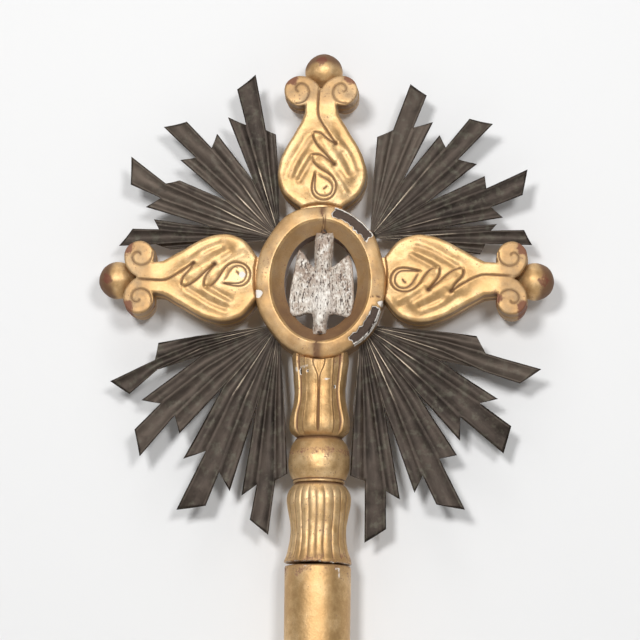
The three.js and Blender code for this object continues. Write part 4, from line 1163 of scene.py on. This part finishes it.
def finishSheet(bm, fan, name, node, seed):
    tag = bm.verts.layers.float["span"]
    rays = 4 if "plate" in name else 1
    bmesh.ops.recalc_face_normals(bm, faces=bm.faces)
    backs = bmesh.ops.extrude_face_region(bm, geom=bm.faces[:], use_keep_orig=True)["geom"]
    for v in backs:
        if isinstance(v, bmesh.types.BMVert):
            v.co.y += sheet["gauge"]
    bmesh.ops.recalc_face_normals(bm, faces=bm.faces)
    bm.verts.ensure_lookup_table()
    co = np.array([v.co for v in bm.verts])
    span = np.array([v[tag] for v in bm.verts])
    mesh = meshFrom(bm, name)
    if mesh.attributes.get("span"):
        mesh.attributes.remove(mesh.attributes["span"])
    reach = np.hypot(co[:, 0], co[:, 2])
    angle = np.arctan2(co[:, 2], co[:, 0])
    crease = np.abs(2 * ((span * rays * 3) % 1) - 1) ** 3.5
    co[:, 0] = co[:, 0] * fan["side"] + fan["hub"][0]
    co[:, 2] = co[:, 2] * fan["up"] + fan["hub"][1]
    writeCo(mesh, co)
    if fan["side"] * fan["up"] < 0:
        mesh.flip_normals()
    paint(mesh, "sheetAlong", reach)
    paint(mesh, "sheetAcross", angle * 60)
    paint(mesh, "sheetId", np.full(len(co), seed))
    paint(mesh, "crease", crease)
    paint(mesh, "nearHub", smoothStep(90, 20, reach))
    return finishPiece(mesh, name, "head", tarnishedTin, [node])


def makePlate(fanName):
    fan = fans[fanName]
    bm = bmesh.new()
    tag = bm.verts.layers.float.new("span")
    edges = fan["edges"]
    for k in range(4):
        third = (edges[k + 1] - edges[k]) / 3
        for j in range(3):
            low, high = edges[k] + third * j, edges[k] + third * (j + 1)
            near, far = 1.0, fan["plateReach"]
            flute = k * 3 + j
            sheetGrid(bm, (polar((low, near)), polar((low, far))), (polar((high, near)), polar((high, far))),
                      sheet["fluteColumns"], 26, flute / 12, (flute + 1) / 12, tag)
    bmesh.ops.remove_doubles(bm, verts=bm.verts, dist=0.004)
    for v in bm.verts:
        reach = math.hypot(v.co.x, v.co.z)
        s = v[tag]
        acrossRay = min(s * 4 % 1, sheet["lastShare"]) if s < 1 else sheet["lastShare"]
        rise = fluteHeight(acrossRay) * sheet["slope"] * reach
        v.co.y = sheet["plane"] - rise * min(1.0, min(s, 1 - s) * 30 + 0.25)
    seed = 40 + 5 * list(fans).index(fanName)
    return finishSheet(bm, fan, f"fan_plate_{fanName}_tin", f"fan_plate_{fanName}", seed)


for fanName in fans:
    makePlate(fanName)
    for index in range(len(rayNames)):
        makeRay(fanName, index)
print("fans pleated")


room = {"floorSize": 9.0, "wall": 0.93, "fill": 0.15, "wallWidth": 3.4, "wallHeight": 3.0,
        "wallBehind": 28.0}
view = {"distance": 2.4, "azimuth": 3.3, "elevation": -9.3, "roll": 0.75, "lens": 180.0,
        "target": (-0.75, 0, -27.0)}
# places are from the ring's centre, in metres; every lamp is aimed at it
lamps = {
    "softLeft": {"at": (-0.60, -2.65, 0.55), "size": 0.5, "watts": 44},
    "softRight": {"at": (0.80, -2.65, 0.40), "size": 0.5, "watts": 30},
    "softTop": {"at": (-0.2, -0.9, 2.2), "size": 1.2, "watts": 14},
    "softBack": {"at": (0.4, 2.4, 0.6), "size": 1.4, "watts": 14},
}


def makeFloor():
    bm = bmesh.new()
    bmesh.ops.create_grid(bm, x_segments=8, y_segments=8, size=room["floorSize"] / 2)
    floor = bpy.data.objects.new("paleFloor", meshFrom(bm, "paleFloor"))
    bpy.context.scene.collection.objects.link(floor)
    f = Finish("paleFloor", Roughness=0.8)
    cloud = f.noise(400, 3)
    f.set(Base_Color=f.mix(cloud, (0.74, 0.74, 0.73), (0.79, 0.79, 0.78)))
    floor.data.materials.append(f.material)


def makeBackdrop():
    # a pale wall just behind the cross, open to the view from its far side
    bm = bmesh.new()
    bmesh.ops.create_grid(bm, x_segments=4, y_segments=4, size=0.5)
    for v in bm.verts:
        v.co = (v.co.x * room["wallWidth"], room["wallBehind"] * mm, (v.co.y + 0.5) * room["wallHeight"])
    bmesh.ops.recalc_face_normals(bm, faces=bm.faces)
    if bm.faces[:][0].normal.y > 0:
        bmesh.ops.reverse_faces(bm, faces=bm.faces)
    wall = bpy.data.objects.new("paleWall", meshFrom(bm, "paleWall"))
    bpy.context.scene.collection.objects.link(wall)
    f = Finish("paleWall", Roughness=0.9)
    cloud = f.noise(500, 3)
    behind = f.add("ShaderNodeNewGeometry", {}, {}, "Backfacing")
    f.set(Base_Color=f.mix(cloud, (0.745, 0.745, 0.745), (0.76, 0.76, 0.76)), Alpha=1 - behind)
    wall.data.materials.append(f.material)
    wall.visible_shadow = False


def makeWorld():
    # the room looks pale, but lights the shadows only a little
    world = bpy.data.worlds.new("studio")
    bpy.context.scene.world = world
    world.use_nodes = True
    tree = world.node_tree
    tree.nodes.clear()
    path = tree.nodes.new("ShaderNodeLightPath")
    mixer = tree.nodes.new("ShaderNodeMixShader")
    out = tree.nodes.new("ShaderNodeOutputWorld")
    tree.links.new(path.outputs["Is Camera Ray"], mixer.inputs[0])
    for slot, level in ((1, room["fill"]), (2, room["wall"])):
        shade = tree.nodes.new("ShaderNodeBackground")
        shade.inputs["Color"].default_value = (level, level, level, 1)
        tree.links.new(shade.outputs[0], mixer.inputs[slot])
    tree.links.new(mixer.outputs[0], out.inputs[0])


def makeLight(name, lamp):
    data = bpy.data.lights.new(name, "AREA")
    data.shape = "SQUARE"
    data.size = lamp["size"]
    data.energy = lamp["watts"]
    light = bpy.data.objects.new(name, data)
    light.location = ringCentre + Vector(lamp["at"])
    light.rotation_euler = (-Vector(lamp["at"])).to_track_quat("-Z", "Y").to_euler()
    bpy.context.scene.collection.objects.link(light)


def makeCamera():
    aim = ringCentre + Vector(view["target"]) * mm
    a, e = math.radians(view["azimuth"]), math.radians(view["elevation"])
    away = Vector((math.sin(a) * math.cos(e), -math.cos(a) * math.cos(e), math.sin(e)))
    data = bpy.data.cameras.new("camera")
    data.lens = view["lens"]
    data.sensor_width = 36
    data.clip_end = 50
    camera = bpy.data.objects.new("camera", data)
    camera.location = aim + away * view["distance"]
    turn = (-away).to_track_quat("-Z", "Y").to_matrix() @ Matrix.Rotation(math.radians(view["roll"]), 3, "Z")
    camera.rotation_euler = turn.to_euler()
    bpy.context.scene.collection.objects.link(camera)
    bpy.context.scene.camera = camera
    bpy.context.scene.view_settings.view_transform = "Standard"


makeFloor()
makeBackdrop()
makeWorld()
for name, lamp in lamps.items():
    makeLight(name, lamp)
makeCamera()

for name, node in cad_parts.items():
    if name.startswith(("arm_dowel", "core_dowel")):
        node.data.materials.clear()
        node.data.materials.append(bareWood)
    elif name.startswith(("dove_nail", "fan_brad", "ferrule_nail")):
        node.data.materials.clear()
        node.data.materials.append(nailIron)
print("room, lights and camera set")
